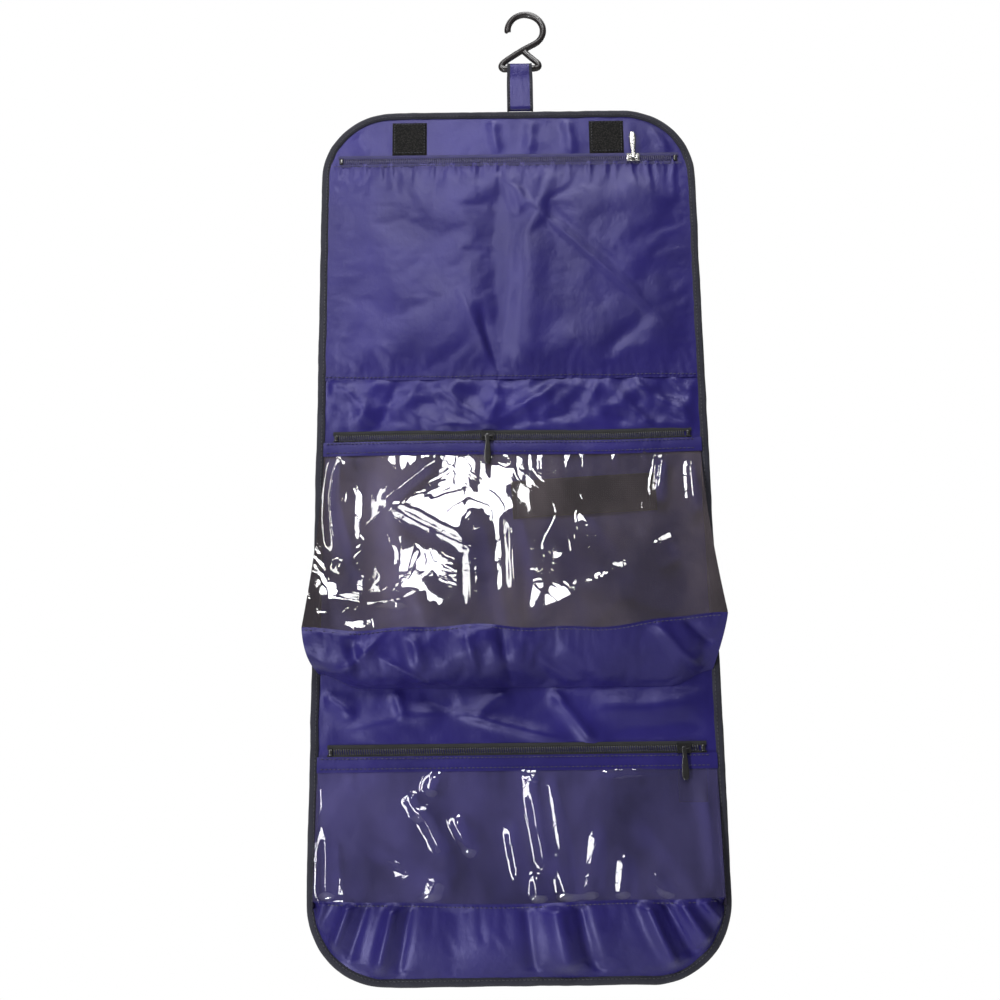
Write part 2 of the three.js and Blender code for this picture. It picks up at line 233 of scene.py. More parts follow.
def settle(piece, held, slack, frames, gravity, bending, limit):
    """Lets a cloth buckle. held is how firmly each vertex is held, slack how much longer the cloth is than the
    shape it starts from, and limit how far in millimetres a vertex may move."""
    start = coordinates(piece)
    group = piece.vertex_groups.new(name="held")
    for i, weight in enumerate(held):
        if weight > 0:
            group.add([i], float(min(weight, 1.0)), "REPLACE")
    modifier = piece.modifiers.new("cloth", "CLOTH")
    cloth = modifier.settings
    cloth.quality = 8
    cloth.mass = 0.05
    cloth.air_damping = 2.0
    cloth.tension_stiffness = cloth.compression_stiffness = 12
    cloth.shear_stiffness = 4
    cloth.bending_stiffness = bending
    cloth.vertex_group_mass = "held"
    cloth.shrink_min = cloth.shrink_max = -slack
    cloth.effector_weights.gravity = gravity
    modifier.collision_settings.use_collision = False
    modifier.point_cache.frame_start, modifier.point_cache.frame_end = 1, frames
    scene = bpy.context.scene
    for step in range(1, frames + 1):
        scene.frame_set(step)
    done = piece.evaluated_get(bpy.context.evaluated_depsgraph_get())
    values = np.zeros(len(start) * 3)
    done.data.vertices.foreach_get("co", values)
    piece.modifiers.remove(modifier)
    piece.vertex_groups.remove(group)
    scene.frame_set(1)
    moved = values.reshape(-1, 3) - start
    distance = np.linalg.norm(moved, axis=1, keepdims=True) / MM
    moved *= np.minimum(1.0, limit * np.tanh(distance / limit) / np.maximum(distance, 1e-9))
    set_coordinates(piece, start + moved)


def keep_in_front(piece, depth):
    """No vertex goes behind this depth, a number or one for each vertex."""
    points = coordinates(piece)
    points[:, 1] = np.minimum(points[:, 1], BAG_Y - np.asarray(depth) * MM)
    set_coordinates(piece, points)


# ---- materials ----


class Nodes:
    """A material's node tree, with short ways to add and join nodes."""

    def __init__(self, name):
        self.material = bpy.data.materials.new(name)
        self.material.use_nodes = True
        self.tree = self.material.node_tree
        self.tree.nodes.clear()
        self.output = self.tree.nodes.new("ShaderNodeOutputMaterial")

    def add(self, kind, **values):
        node = self.tree.nodes.new(f"ShaderNode{kind}")
        for key, value in values.items():
            if hasattr(node, key):
                setattr(node, key, value)
            else:
                node.inputs[key.replace("_", " ")].default_value = value
        return node

    def join(self, source, output, target, entry):
        self.tree.links.new(source.outputs[output], target.inputs[entry])

    def coordinates(self, scale):
        mapping = self.add("Mapping", Scale=scale)
        self.join(self.add("TexCoord"), "Object", mapping, "Vector")
        return mapping

    def noise(self, scale, detail=3.0, stretch=(1, 1, 1)):
        texture = self.add("TexNoise", Scale=scale, Detail=detail, Roughness=0.55)
        self.join(self.coordinates(stretch), "Vector", texture, "Vector")
        return texture

    def ramp(self, source, output, low, high, start=0.3, end=0.7):
        ramp = self.add("ValToRGB")
        ramp.color_ramp.elements[0].position, ramp.color_ramp.elements[1].position = start, end
        ramp.color_ramp.elements[0].color, ramp.color_ramp.elements[1].color = (*low, 1), (*high, 1)
        self.join(source, output, ramp, "Fac")
        return ramp

    def bumps(self, layers, *shaders):
        """Bump nodes one on another, from (texture, output, distance in millimetres, strength)."""
        last = None
        for texture, output, distance, strength in layers:
            bump = self.add("Bump", Strength=strength, Distance=distance * MM)
            self.join(texture, output, bump, "Height")
            if last:
                self.join(last, "Normal", bump, "Normal")
            last = bump
        for shader in shaders:
            self.join(last, "Normal", shader, "Normal")

    def finish(self, shader, colour, layers):
        """The material, from a shader, the colour that goes into it and its bumps."""
        self.join(colour, "Color", shader, "Base Color")
        self.bumps(layers, shader)
        self.join(shader, "BSDF", self.output, "Surface")
        return self.material


def weave(nodes, pitch):
    """Crossed threads, by two waves; pitch is in millimetres."""
    waves = []
    for direction in ("X", "Z"):
        wave = nodes.add("TexWave", bands_direction=direction, Distortion=0.0, Scale=0.314 / (pitch * MM))
        nodes.join(nodes.coordinates((1, 1, 1)), "Vector", wave, "Vector")
        waves.append(wave)
    product = nodes.add("Math", operation="MULTIPLY")
    nodes.join(waves[0], "Fac", product, 0)
    nodes.join(waves[1], "Fac", product, 1)
    return product


def nylon(name, low, high, roughness=0.36, sheen=0.05):
    """Shiny woven nylon: a fine weave, small creases, and a colour that wanders a little."""
    nodes = Nodes(name)
    shader = nodes.add("BsdfPrincipled", Roughness=roughness, Specular_IOR_Level=0.5,
                       Specular_Tint=(0.64, 0.62, 1, 1), Sheen_Weight=sheen, Sheen_Roughness=0.4,
                       Sheen_Tint=(0.45, 0.42, 0.85, 1))
    return nodes.finish(shader, nodes.ramp(nodes.noise(14, 5), "Fac", low, high), [
        (nodes.noise(110, 4, (1, 1, 0.6)), "Fac", 0.9, 0.35), (nodes.noise(420, 2), "Fac", 0.12, 0.5),
        (weave(nodes, 0.5), "Value", 0.05, 0.5),
    ])


def tape(name, low, high, rib, roughness=0.75):
    """Woven tape: ribs across it, and a little fuzz."""
    nodes = Nodes(name)
    shader = nodes.add("BsdfPrincipled", Roughness=roughness, Specular_IOR_Level=0.3, Sheen_Weight=0.12,
                       Sheen_Roughness=0.6)
    return nodes.finish(shader, nodes.ramp(nodes.noise(60, 4), "Fac", low, high), [
        (nodes.noise(500, 3), "Fac", 0.15, 0.5), (weave(nodes, rib), "Value", 0.15, 0.7),
    ])


def fuzz(name, low, high):
    """Hook-and-loop: a dense field of tiny hooks over a dull backing."""
    nodes = Nodes(name)
    shader = nodes.add("BsdfPrincipled", Roughness=0.95, Specular_IOR_Level=0.2)
    cells = nodes.add("TexVoronoi", Scale=900.0)
    nodes.join(nodes.coordinates((1, 1, 1)), "Vector", cells, "Vector")
    return nodes.finish(shader, nodes.ramp(cells, "Distance", high, low, 0.05, 0.6), [
        (nodes.noise(150, 3), "Fac", 0.3, 0.4), (cells, "Distance", 0.5, 0.8),
    ])


def film(name, thin, thick, colour):
    """Clear soft film: mostly see-through, a haze from thin to thick, and a wet gloss with small crinkles."""
    nodes = Nodes(name)
    clear = nodes.add("BsdfTransparent", Color=(0.995, 0.99, 0.99, 1))
    haze = nodes.add("BsdfDiffuse", Color=(*colour, 1))
    gloss = nodes.add("BsdfGlossy", Roughness=0.05, Color=(1, 1, 1, 1))
    body = nodes.add("MixShader")
    smear = nodes.ramp(nodes.noise(16, 7, (1, 1, 0.6)), "Fac", (thin,) * 3, (thick,) * 3, 0.4, 0.72)
    nodes.join(smear, "Color", body, 0)
    nodes.join(clear, "BSDF", body, 1)
    nodes.join(haze, "BSDF", body, 2)
    edge = nodes.add("Fresnel", IOR=1.75)
    top = nodes.add("MixShader")
    nodes.join(edge, "Fac", top, 0)
    nodes.join(body, "Shader", top, 1)
    nodes.join(gloss, "BSDF", top, 2)
    swirl = nodes.noise(26, 2, (1, 1, 0.8))
    swirl.inputs["Distortion"].default_value = 1.6
    creases = nodes.add("ValToRGB")
    for position, level_of_crease in ((0.46, 0.0), (0.5, 1.0), (0.54, 0.0)):
        stop = creases.color_ramp.elements.new(position)
        stop.color = (level_of_crease,) * 3 + (1,)
    creases.color_ramp.elements[0].color = creases.color_ramp.elements[-1].color = (0, 0, 0, 1)
    nodes.join(swirl, "Fac", creases, "Fac")
    nodes.bumps([
        (nodes.noise(45, 2, (1, 1, 0.6)), "Fac", 0.6, 0.5), (creases, "Color", 0.1, 0.5),
        (nodes.noise(260, 2), "Fac", 0.05, 0.5),
    ], gloss, edge)
    nodes.join(top, "Shader", nodes.output, "Surface")
    return nodes.material


def plastic(name, low, high, roughness, coat=0.0, texture=1.0):
    nodes = Nodes(name)
    shader = nodes.add("BsdfPrincipled", Roughness=roughness, Coat_Weight=coat, Coat_Roughness=0.12)
    return nodes.finish(shader, nodes.ramp(nodes.noise(80, 4), "Fac", low, high), [
        (nodes.noise(240, 3), "Fac", 0.15 * texture, 0.3), (nodes.noise(1500, 2), "Fac", 0.03 * texture, 0.4),
    ])


def metal(name, low, high, roughness):
    nodes = Nodes(name)
    shader = nodes.add("BsdfPrincipled", Metallic=1.0, Roughness=roughness)
    colour = nodes.ramp(nodes.noise(200, 5), "Fac", low, high)
    return nodes.finish(shader, colour, [(nodes.noise(900, 3), "Fac", 0.05, 0.5)])


NYLON = nylon("nylon", (0.0125, 0.0094, 0.08), (0.0207, 0.0152, 0.128))
LINING_CLOTH = nylon("lining", (0.0125, 0.0094, 0.086), (0.0207, 0.0152, 0.138))
BINDING_TAPE = tape("binding_tape", (0.007, 0.007, 0.015), (0.016, 0.016, 0.028), 1.1)
SIDE_CLOTH = nylon("side_cloth", (0.012, 0.009, 0.012), (0.03, 0.022, 0.026), 0.5, 0.1)
ZIP_TAPE = tape("zip_tape", (0.008, 0.008, 0.009), (0.018, 0.018, 0.018), 0.8)
NAVY_TAPE = tape("navy_zip_tape", (0.02, 0.017, 0.08), (0.035, 0.03, 0.13), 0.8, 0.6)
COIL = plastic("zip_coil", (0.008, 0.008, 0.008), (0.02, 0.02, 0.018), 0.35)
NAVY_COIL = plastic("navy_zip_coil", (0.014, 0.011, 0.05), (0.025, 0.02, 0.09), 0.4)
ELASTIC = tape("elastic", (0.008, 0.007, 0.007), (0.02, 0.017, 0.015), 1.4, 0.9)
HOOK_AND_LOOP = fuzz("hook_and_loop", (0.006, 0.006, 0.006), (0.03, 0.028, 0.026))
FILM = film("clear_film", 0.045, 0.15, (0.6, 0.49, 0.54))
LOWER_CLEAR = film("clear_film_lower", 0.07, 0.2, (0.29, 0.25, 0.72))
HOOK_PLASTIC = plastic("hook_plastic", (0.012, 0.009, 0.01), (0.022, 0.018, 0.018), 0.34, 0.3, 0.2)
THREAD = tape("thread", (0.02, 0.018, 0.05), (0.05, 0.045, 0.11), 0.6, 0.6)
BLACK_THREAD = tape("black_thread", (0.015, 0.015, 0.02), (0.05, 0.05, 0.06), 0.6, 0.6)
NICKEL = metal("nickel", (0.5, 0.49, 0.47), (0.75, 0.74, 0.72), 0.22)
BLACK_METAL = plastic("black_lacquer", (0.01, 0.01, 0.01), (0.022, 0.021, 0.021), 0.25, 0.4)


# ---- the cloth that crosses the folds, in four stretches ----

SPLITS = [0.0, (FOLDS[0] + FOLDS[1]) / 2, (FOLDS[1] + FOLDS[2]) / 2, (FOLDS[2] + FOLDS[3]) / 2, HEIGHT]
STRETCH_NODES = [
    ["upper_{0}", "upper_fold_{0}"], ["middle_{0}"], ["lower_fold_{0}"], ["lower_{0}"],
]


def across_fold(piece):
    """Bakes the piece's place into its mesh."""
    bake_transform(piece)


def stretches(kind, whole, rows, columns):
    """Cuts a sheet that covers the bag into the four stretches, with the whole sheet's normals at the cuts."""
    points = coordinates(whole).reshape(rows, columns, 3)
    normals = np.zeros(rows * columns * 3)
    whole.data.vertices.foreach_get("normal", normals)
    normals = normals.reshape(rows, columns, 3)
    levels = down_of(points[:, columns // 2, 2])
    cuts = [int(np.argmin(np.abs(levels - s))) for s in SPLITS]
    material = whole.data.materials[0]
    for index, (first, last) in enumerate(zip(cuts, cuts[1:])):
        part = points[first:last + 1]
        piece = quads(f"{kind}_{index + 1}", part.reshape(-1, 3), last - first + 1, columns, material)
        flat = normals[first:last + 1].reshape(-1, 3)
        piece.data.normals_split_custom_set_from_vertices([tuple(n) for n in flat])
        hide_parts(*[n.format(kind) for n in STRETCH_NODES[index]])
        across_fold(piece)
    bpy.data.objects.remove(whole)


LINING_FOLDS = [
    # flap above the upper zip
    ((-12, 2), (-8, 36), 3.5, 1.3), ((42, 2), (47, 38), 4.0, 1.5), ((18, 4), (14, 36), 4.0, 1.2),
    ((104, 14), (116, 34), 3.0, 1.2), ((-112, 16), (-102, 34), 4.0, 1.0),
    # upper fold zone: creases that meet near the middle, and slanting shards beside them
    ((-15, 239), (-54, 209), 4.0, 2.6, 1.2), ((-15, 239), (-10, 206), 4.5, 2.6, 1.2),
    ((-14, 238), (34, 208), 4.0, 2.8, 1.2), ((-12, 240), (58, 227), 3.5, -2.4, 1.3),
    ((-16, 240), (-62, 234), 3.5, 2.0, 1.2), ((-118, 206), (-94, 238), 6.0, 2.2, 1.2),
    ((-78, 206), (-92, 240), 5.0, -2.0, 1.3), ((60, 206), (46, 238), 4.5, 2.2, 1.2),
    ((78, 204), (126, 236), 4.0, 2.8, 1.2), ((100, 205), (122, 220), 5.0, -1.8),
    ((72, 216), (96, 240), 5.0, 2.0, 1.2),
    # lower fold zone: long drape folds, and a bright facet between two of them
    ((-44, 430), (32, 450), 3.8, 4.4, 1.2), ((22, 416), (52, 454), 4.2, 4.8, 1.2),
    ((-4, 417), (-28, 434), 5.0, 3.2, 1.2), ((40, 431), (126, 426), 8.0, 4.2),
    ((60, 447), (124, 442), 5.0, -2.6), ((-126, 418), (-106, 433), 5.0, 3.4, 1.2),
    ((-79, 416), (-73, 436), 3.8, 3.4, 1.3), ((-114, 442), (-44, 430), 7.0, 3.2, 1.3),
    ((-62, 419), (-38, 429), 4.5, -2.4),
    # behind the windows
    ((-90, 262), (-50, 400), 7.0, 1.2), ((96, 300), (60, 410), 8.0, 1.0), ((-60, 470), (-30, 590), 7.0, 1.0),
    ((40, 470), (70, 580), 8.0, 1.0),
]


def zone(down, top, bottom, fade=4.0):
    """1 between two levels, fading to 0 at both."""
    return smooth(top, top + fade, down) * smooth(bottom, bottom - fade, down)


def under_patches(x, down):
    """1 where a hook-and-loop square holds the flap flat."""
    lo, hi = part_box("hook_patch_right")
    left, right = (lo.x - BAG_X) / MM, (hi.x - BAG_X) / MM
    return zone(np.abs(x), left - 3, right + 3, 3) * zone(down, down_of(hi.z) - 3, down_of(lo.z) + 3, 3)


def make_lining():
    rows, columns = 250, 136

    def shape(u, v):
        down = 2.0 + v * (HEIGHT - 4.0)
        x = u * half_width(down, 2.0)
        creased = np.maximum(zone(down, 203, 243), zone(down, 416, 454))
        behind = np.maximum(zone(down, 256, 414), zone(down, 466, 594))
        free = np.maximum.reduce([creased, behind, zone(down, 3, 38, 2.5)])
        rim = smooth(BINDING - 0.5, BINDING + 7, edge_distance(x, down)) * (1 - under_patches(x, down))
        shards = 4.8 * crumple(x, down, 20, 15, 3) + 1.2 * crumple(x, down, 8, 7, 4) - 2.1
        shards = np.where(down < 330, shards, 1.5 * crumple(x, down, 34, 20, 5) - 0.6)
        waves = folds(x, down, LINING_FOLDS) + 0.6 * cloud(x, down, 26, 18, 1) + 0.3 * cloud(x, down, 9, 7, 2)
        return x, LINING + rim * (free * waves + creased * shards), down

    whole = surface("lining", rows, columns, shape, LINING_CLOTH)
    keep_in_front(whole, LINING - 0.8)
    stretches("lining", whole, rows, columns)


def make_shell():
    rows, columns = 150, 60

    def shape(u, v):
        down = 2.0 + v * (HEIGHT - 4.0)
        x = u * half_width(down, 2.0)
        rim = smooth(1.0, 0.9, np.abs(u)) * smooth(0, 14, down) * smooth(HEIGHT, HEIGHT - 14, down)
        waves = 0.9 * cloud(x, down, 60, 40, 11) + 0.45 * cloud(x, down, 16, 22, 12)
        soft = np.maximum(zone(down, 198, 247), zone(down, 411, 457))
        waves = waves + soft * (0.8 * cloud(x, down, 22, 9, 13) - 0.4)
        return x, -LINING - rim * (0.35 + 0.55 * waves), down

    whole = surface("shell", rows, columns, shape, NYLON)
    mirrored = coordinates(whole).reshape(rows, columns, 3)[:, ::-1]  # so that it faces the back
    set_coordinates(whole, mirrored.reshape(-1, 3))
    stretches("shell", whole, rows, columns)


# ---- edge binding ----


def outline_points(step=3.0):
    """Points round the bag's outline, clockwise from the top middle, with their outward directions."""
    side, end = HEIGHT - 2 * CORNER, 2 * (HALF_WIDTH - CORNER)
    quarter = math.pi * CORNER / 2
    legs = [end / 2, quarter, side, quarter, end, quarter, side, quarter, end / 2]
    total = sum(legs)
    out = []
    for i in range(int(total / step)):
        t = i * total / int(total / step)
        leg = 0
        while t > legs[leg]:
            t -= legs[leg]
            leg += 1
        across, low = HALF_WIDTH - CORNER, HEIGHT - CORNER
        turn = t / CORNER
        arc = {1: (across, CORNER, -math.pi / 2), 3: (across, low, 0.0),
               5: (-across, low, math.pi / 2), 7: (-across, CORNER, math.pi)}
        if leg in arc:
            cx, cy, start = arc[leg]
            normal = (math.cos(start + turn), math.sin(start + turn))
            base = (cx + CORNER * normal[0], cy + CORNER * normal[1])
        else:
            base, normal = {
                0: ((t, 0.0), (0.0, -1.0)), 2: ((HALF_WIDTH, CORNER + t), (1.0, 0.0)),
                4: ((across - t, HEIGHT), (0.0, 1.0)), 6: ((-HALF_WIDTH, low - t), (-1.0, 0.0)),
                8: ((t - end / 2, 0.0), (0.0, -1.0)),
            }[leg]
        out.append((*base, *normal))
    return np.array(out)


BINDING_SECTION = [
    # (inset from the edge, depth): a tape folded over the edge, its front leg first
    (BINDING + 0.1, LINING + 0.1), (BINDING, 2.0), (4.2, 2.3), (2.2, 2.45), (0.8, 1.9), (0.1, 0.8),
    (0.1, -0.8), (0.8, -1.9), (2.2, -2.45), (4.2, -2.3), (BINDING, -2.0), (BINDING + 0.1, -LINING - 0.1),
]


def wander(x, down):
    """How far the sewn edge strays from its true line."""
    return 0.55 * noise.noise((x / 26, down / 26, 14.0)) + 0.2 * noise.noise((x / 8, down / 8, 15.0)) - 0.3


def binding_run(name, course, material):
    """A length of the binding along a course of outline points."""
    points = []
    for x, down, nx, ny in course:
        for inset, depth in BINDING_SECTION:
            leg = abs(inset) / BINDING
            wobble = 0.35 * leg * noise.noise((x / 14, down / 14, 3.0))
            lift = 0.22 * noise.noise((x / 6, down / 6, 8.0)) * np.sign(depth)
            inward = inset + wobble - wander(x, down)
            points.append(place(x - inward * nx, depth + lift, down - inward * ny))
    return solid(name, points, loft(len(course), len(BINDING_SECTION), turned=True), material)


def make_binding():
    course = outline_points()
    names = {
        0: ["upper_binding", "upper_fold_binding_left", "upper_fold_binding_right"],
        1: ["middle_binding_left", "middle_binding_right"],
        2: ["lower_fold_binding_left", "lower_fold_binding_right"],
        3: ["lower_binding"],
    }
    closed = np.vstack([course, course[:1]])
    level_of = closed[:, 1]
    for index, (top, bottom) in enumerate(zip(SPLITS, SPLITS[1:])):
        inside = (level_of >= top - 1.6) & (level_of <= bottom + 1.6)
        runs = np.split(np.arange(len(closed)), np.where(~inside)[0])
        runs = [[i for i in run if inside[i]] for run in runs]
        runs = [run for run in runs if len(run) > 2]
        if index == 0 and runs[0][0] == 0:
            runs = [runs[-1][:-1] + runs[0]] + runs[1:-1]
        for number, run in enumerate(runs):
            part = course[[i % len(course) for i in run]]
            piece = binding_run(f"binding_{index + 1}_{number + 1}", part, BINDING_TAPE)
            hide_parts(*(names[index] if len(runs) == 1 else names[index][number:number + 1]))
            line = [place(x - 4.4 * nx, 2.4, down - 4.4 * ny) for x, down, nx, ny in part]
            stitches = stitch_along(f"binding_stitch_{index + 1}_{number + 1}", line, 2.6, BLACK_THREAD)
            for part_of_edge in (piece, stitches):
                across_fold(part_of_edge)


# ---- stitching ----


def stitch_along(name, line, pitch, material, thick=0.35):
    """Thread lying along a line of points: one short low bead for each stitch."""
    line = [Vector(p) for p in line]
    lengths = np.cumsum([0.0] + [(b - a).length for a, b in zip(line, line[1:])])
    count = max(1, int(lengths[-1] / (pitch * MM)))
    points, faces = [], []
    for k in range(count):
        spots = []
        for part in (0.12, 0.5, 0.82):
            at = (k + part) * lengths[-1] / count
            i = min(int(np.searchsorted(lengths, at)), len(line) - 1)
            i = max(i, 1)
            share = (at - lengths[i - 1]) / max(lengths[i] - lengths[i - 1], 1e-9)
            spots.append(line[i - 1].lerp(line[i], share))
        along = (spots[2] - spots[0]).normalized()
        out = Vector((0, -1, 0))
        side = along.cross(out).normalized()
        base = len(points)
        for spot, size, rise in zip(spots, (0.5, 1.0, 0.5), (0.0, 0.2, 0.0)):
            for turn in range(6):
                angle = math.pi * turn / 3
                offset = side * math.cos(angle) + out * math.sin(angle)
                points.append(spot + out * rise * MM + offset * thick * MM * size)
        faces += loft(3, 6, True, base, True)
        faces.append(tuple(base + i for i in reversed(range(6))))
        faces.append(tuple(base + 12 + i for i in range(6)))
    return solid(name, points, faces, material)


def sew(name, body, half, line, short):
    """A row of thread across the bag, short of half its width at each end; line gives (depth, down) at x."""
    seam = [place(x, *line(x)) for x in np.arange(-half + short, half - short, 3.0)]
    dress(stitch_along(name, seam, STITCH, THREAD), "nylon", body)


# ---- upper pocket ----

UPPER_FOLDS = [
    # (start, end, width, height, sharpness): a broad valley down the middle with a forked bulge beside it
    ((-7, 30), (-7, 214), 15.0, -3.0, 1.5), ((16, 96), (30, 44), 6.0, 3.0), ((10, 84), (0, 46), 5.0, 2.4),
    ((15, 84), (9, 206), 9.5, 4.0), ((-36, 140), (-12, 200), 4.2, 3.4, 1.4), ((-22, 150), (-8, 204), 3.4, -1.8),
    ((-6, 53), (112, 169), 2.6, 1.6, 1.0), ((2, 52), (116, 162), 5.0, -1.0), ((-110, 60), (-60, 190), 14.0, 1.0),
    ((-72, 44), (-58, 84), 5.0, 1.2), ((60, 150), (118, 176), 9.0, 2.0), ((66, 186), (104, 152), 6.0, -1.2),
    ((80, 58), (118, 74), 8.0, 2.2), ((96, 50), (110, 92), 7.0, 1.4), ((40, 168), (66, 204), 6.0, 1.6, 1.3),
    ((-96, 176), (-70, 204), 5.0, 1.4), ((-120, 50), (-104, 110), 6.0, 1.2), ((-124, 180), (-100, 200), 5.0, 1.4),
]


def make_upper_pocket():
    rows, columns = 96, 150
    top, bottom = UPPER_POCKET[0] - 3.5, UPPER_POCKET[1] + 1.4

    def shape(u, v):
        down = top + v * (bottom - top)
        x = u * np.minimum(half_width(down, BINDING - 1.0), EDGE + 1.0)
        rim = smooth(1.02, 0.6, np.abs(u)) * smooth(-0.02, 0.2, v) * smooth(1.02, 0.84, v)
        drift = 0.8 * cloud(x, down, 44, 60, 21) + 0.24 * cloud(x, down, 15, 18, 22)
        waves = 2.1 + 0.8 * smooth(-10, 40, x) + folds(x, down, UPPER_FOLDS) + drift
        seams = pucker(x, down - top - 6, 9.0, 8.0, 1.3, 23) + pucker(x, bottom - 2 - down, 8.0, 5.0, 0.7, 24)
        sides = smooth(1.0, 0.96, np.abs(u))
        lift = rim * waves + sides * seams
        return x, 1.9 + np.where(lift > 0, 4.4 * np.tanh(lift / 4.4), lift), down

    piece = surface("upper_pocket", rows, columns, shape, NYLON)
    hold = 1 - loose(rows, columns, 0.95, 0.04, 0.96)
    settle(piece, hold, slack=0.003, frames=16, gravity=0.0, bending=0.5, limit=0.9)
    keep_in_front(piece, 1.6)
    dress(piece, "nylon", "upper", "upper_pocket_front")
    sew("upper_pocket_seam", "upper", EDGE, lambda x: (2.6, bottom - 2.2 + 0.3 * math.sin(x / 9)), 0)
    sew("upper_pocket_hem_stitch", "upper", EDGE, lambda x: (3.3, top + 3.4 + 0.3 * math.sin(x / 8)), 3)


# ---- strips of cloth and tape ----


def strip(name, x0, x1, top, bottom, depth, material, seed, wave, rows=5, lean=0.0, shift=None):
    """A narrow flat strip across the bag, gently wavy; lean moves its lower edge forward."""
    columns = int((x1 - x0) / 3) + 2

    def shape(u, v):
        x = (x0 + x1) / 2 + u * (x1 - x0) / 2
        down = top + v * (bottom - top)
        if shift:
            down = down + shift(x)
        ripple = wave * (cloud(x, down, 20, 30, seed) + 0.5 * cloud(x, down, 7, 12, seed + 1))
        edge = 0.25 * np.sin(np.pi * v)
        return x, depth + lean * v + ripple + edge, down

    return surface(name, rows, columns, shape, material)


def zip_line(x):
    """The middle zip isn't quite straight: it waves a little and rises at its right end."""
    return 0.4 * np.sin(x / 38.0) - 0.8 * smooth(60, 122, x)


def coil(name, level_down, depth, material, shift=None):
    """Zip teeth: a low rounded loop across the coil at every pitch."""
    pitch, wide, tall = 1.5, 2.1, 0.85
    points, faces = [], []
    arch = [(-1.0, 0.0), (-0.85, 0.65), (-0.35, 1.0), (0.35, 1.0), (0.85, 0.65), (1.0, 0.0)]
    for k in range(int(2 * COIL_HALF / pitch)):
        x = -COIL_HALF + (k + 0.5) * pitch
        drop = float(shift(np.array(x))) if shift else 0.0
        base = len(points)
        for across, rise in arch:
            for dx, low in ((-0.45, 0.35), (0.0, 0.0), (0.45, 0.35)):
                out = depth + tall * rise - low * rise
                points.append(place(x + dx + 0.3 * across, out, level_down + drop + wide * across))
        faces += loft(len(arch), 3, base=base)
    return solid(name, points, faces, material)


def make_zip(section, level_down, tape_material, shift=None):
    for side, (near, far) in (("top", (-1.6, -4.6)), ("bottom", (1.6, 4.6))):
        low, high = sorted((level_down + near, level_down + far))
        piece = strip(f"{section}_zip_tape_{side}_cloth", -COIL_HALF - 4, COIL_HALF + 4, low, high, 1.9,
                      tape_material, 31, 0.25, shift=shift)
        dress(piece, "zip_tape", section, f"{section}_zip_tape_{side}")
    teeth = coil(f"{section}_zip_teeth", level_down, 2.2, NAVY_COIL if section == "upper" else COIL, shift)
    dress(teeth, "zip_coil", section, f"{section}_zip_coil")
    for hand, side in (("left", -1), ("right", 1)):
        zip_stop(f"{section}_zip_stop_{hand}", section, side, level_down, shift)
    finish = NICKEL if section == "upper" else BLACK_METAL
    trim(f"{section}_zip_slider", finish, 0.18)
    pull_bar(section, finish)


def zip_stop(node, section, side, level_down, shift):
    """The crimped stop at one end of a zip, level with the end of its coil."""
    x = side * (COIL_HALF + 1.7)
    down = level_down + (float(shift(np.array(x))) if shift else 0.0)
    points = [place(x + a * size, out, down + b * size) for out, size in ((1.5, 1.0), (3.0, 1.0), (3.5, 0.7))
              for a, b in ((-1.4, -2.2), (1.4, -2.2), (1.4, 2.2), (-1.4, 2.2))]
    faces = loft(3, 4, closed=True) + [(0, 1, 2, 3), (8, 11, 10, 9)]
    piece = solid(f"{node}_crimp", points, faces, BLACK_METAL)
    rounded = piece.modifiers.new("rounded", "BEVEL")
    rounded.width, rounded.segments = 0.3 * MM, 2
    dress(piece, "zip_coil", section, node)


def pull_bar(section, material):
    """A slim zip pull in the place of the plain one: a neck with an eye round the bail, and a waisted bar."""
    lo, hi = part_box(f"{section}_zip_pull")
    centre_x, long = (lo.x + hi.x) / 2, hi.z - lo.z
    up = lo.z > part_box(f"{section}_zip_slider")[0].z
    outline = [
        # (share of the length from the eye, half width in millimetres)
        (0.0, 1.2), (0.04, 1.7), (0.12, 1.9), (0.2, 1.5), (0.28, 1.35), (0.4, 1.9), (0.6, 2.3), (0.82, 2.5),
        (0.93, 2.2), (0.98, 1.4), (1.0, 0.6),
    ]
    octagon = [(-1, 0.25), (-0.8, 0.5), (0.8, 0.5), (1, 0.25),
               (1, -0.25), (0.8, -0.5), (-0.8, -0.5), (-1, -0.25)]
    points = []
    for share, half in outline:
        z = lo.z + long * share if up else hi.z - long * share
        lean = (hi.y - lo.y) / 2 - 0.6 * MM
        y = (lo.y + hi.y) / 2 + lean * (2 * share - 1) * (1 if up else 0)
        points += [(centre_x + across * half * MM, y - out * MM, z) for across, out in octagon]
    faces = loft(len(outline), 8, closed=True, turned=True)
    if not up:
        faces = [face[::-1] for face in faces]
    last = (len(outline) - 1) * 8
    faces += [tuple(range(8)), tuple(last + j for j in reversed(range(8)))]
    piece = solid(f"{section}_pull_bar", points, faces, material)
    smoothing = piece.modifiers.new("rounded", "SUBSURF")
    smoothing.levels = smoothing.render_levels = 1
    dress(piece, "pull_metal", f"{section}_pull", f"{section}_zip_pull")


def trim(node, material, bevel):
    """A CAD piece kept as it is, with its edges softened and a finish."""
    piece = frame["nodes"][node]
    piece.data.materials.clear()
    piece.data.materials.append(material)
    softened = piece.modifiers.new("soft edges", "BEVEL")
    softened.width, softened.segments = bevel * MM, 3
    softened.limit_method, softened.angle_limit = "ANGLE", math.radians(40)


# ---- middle pocket ----


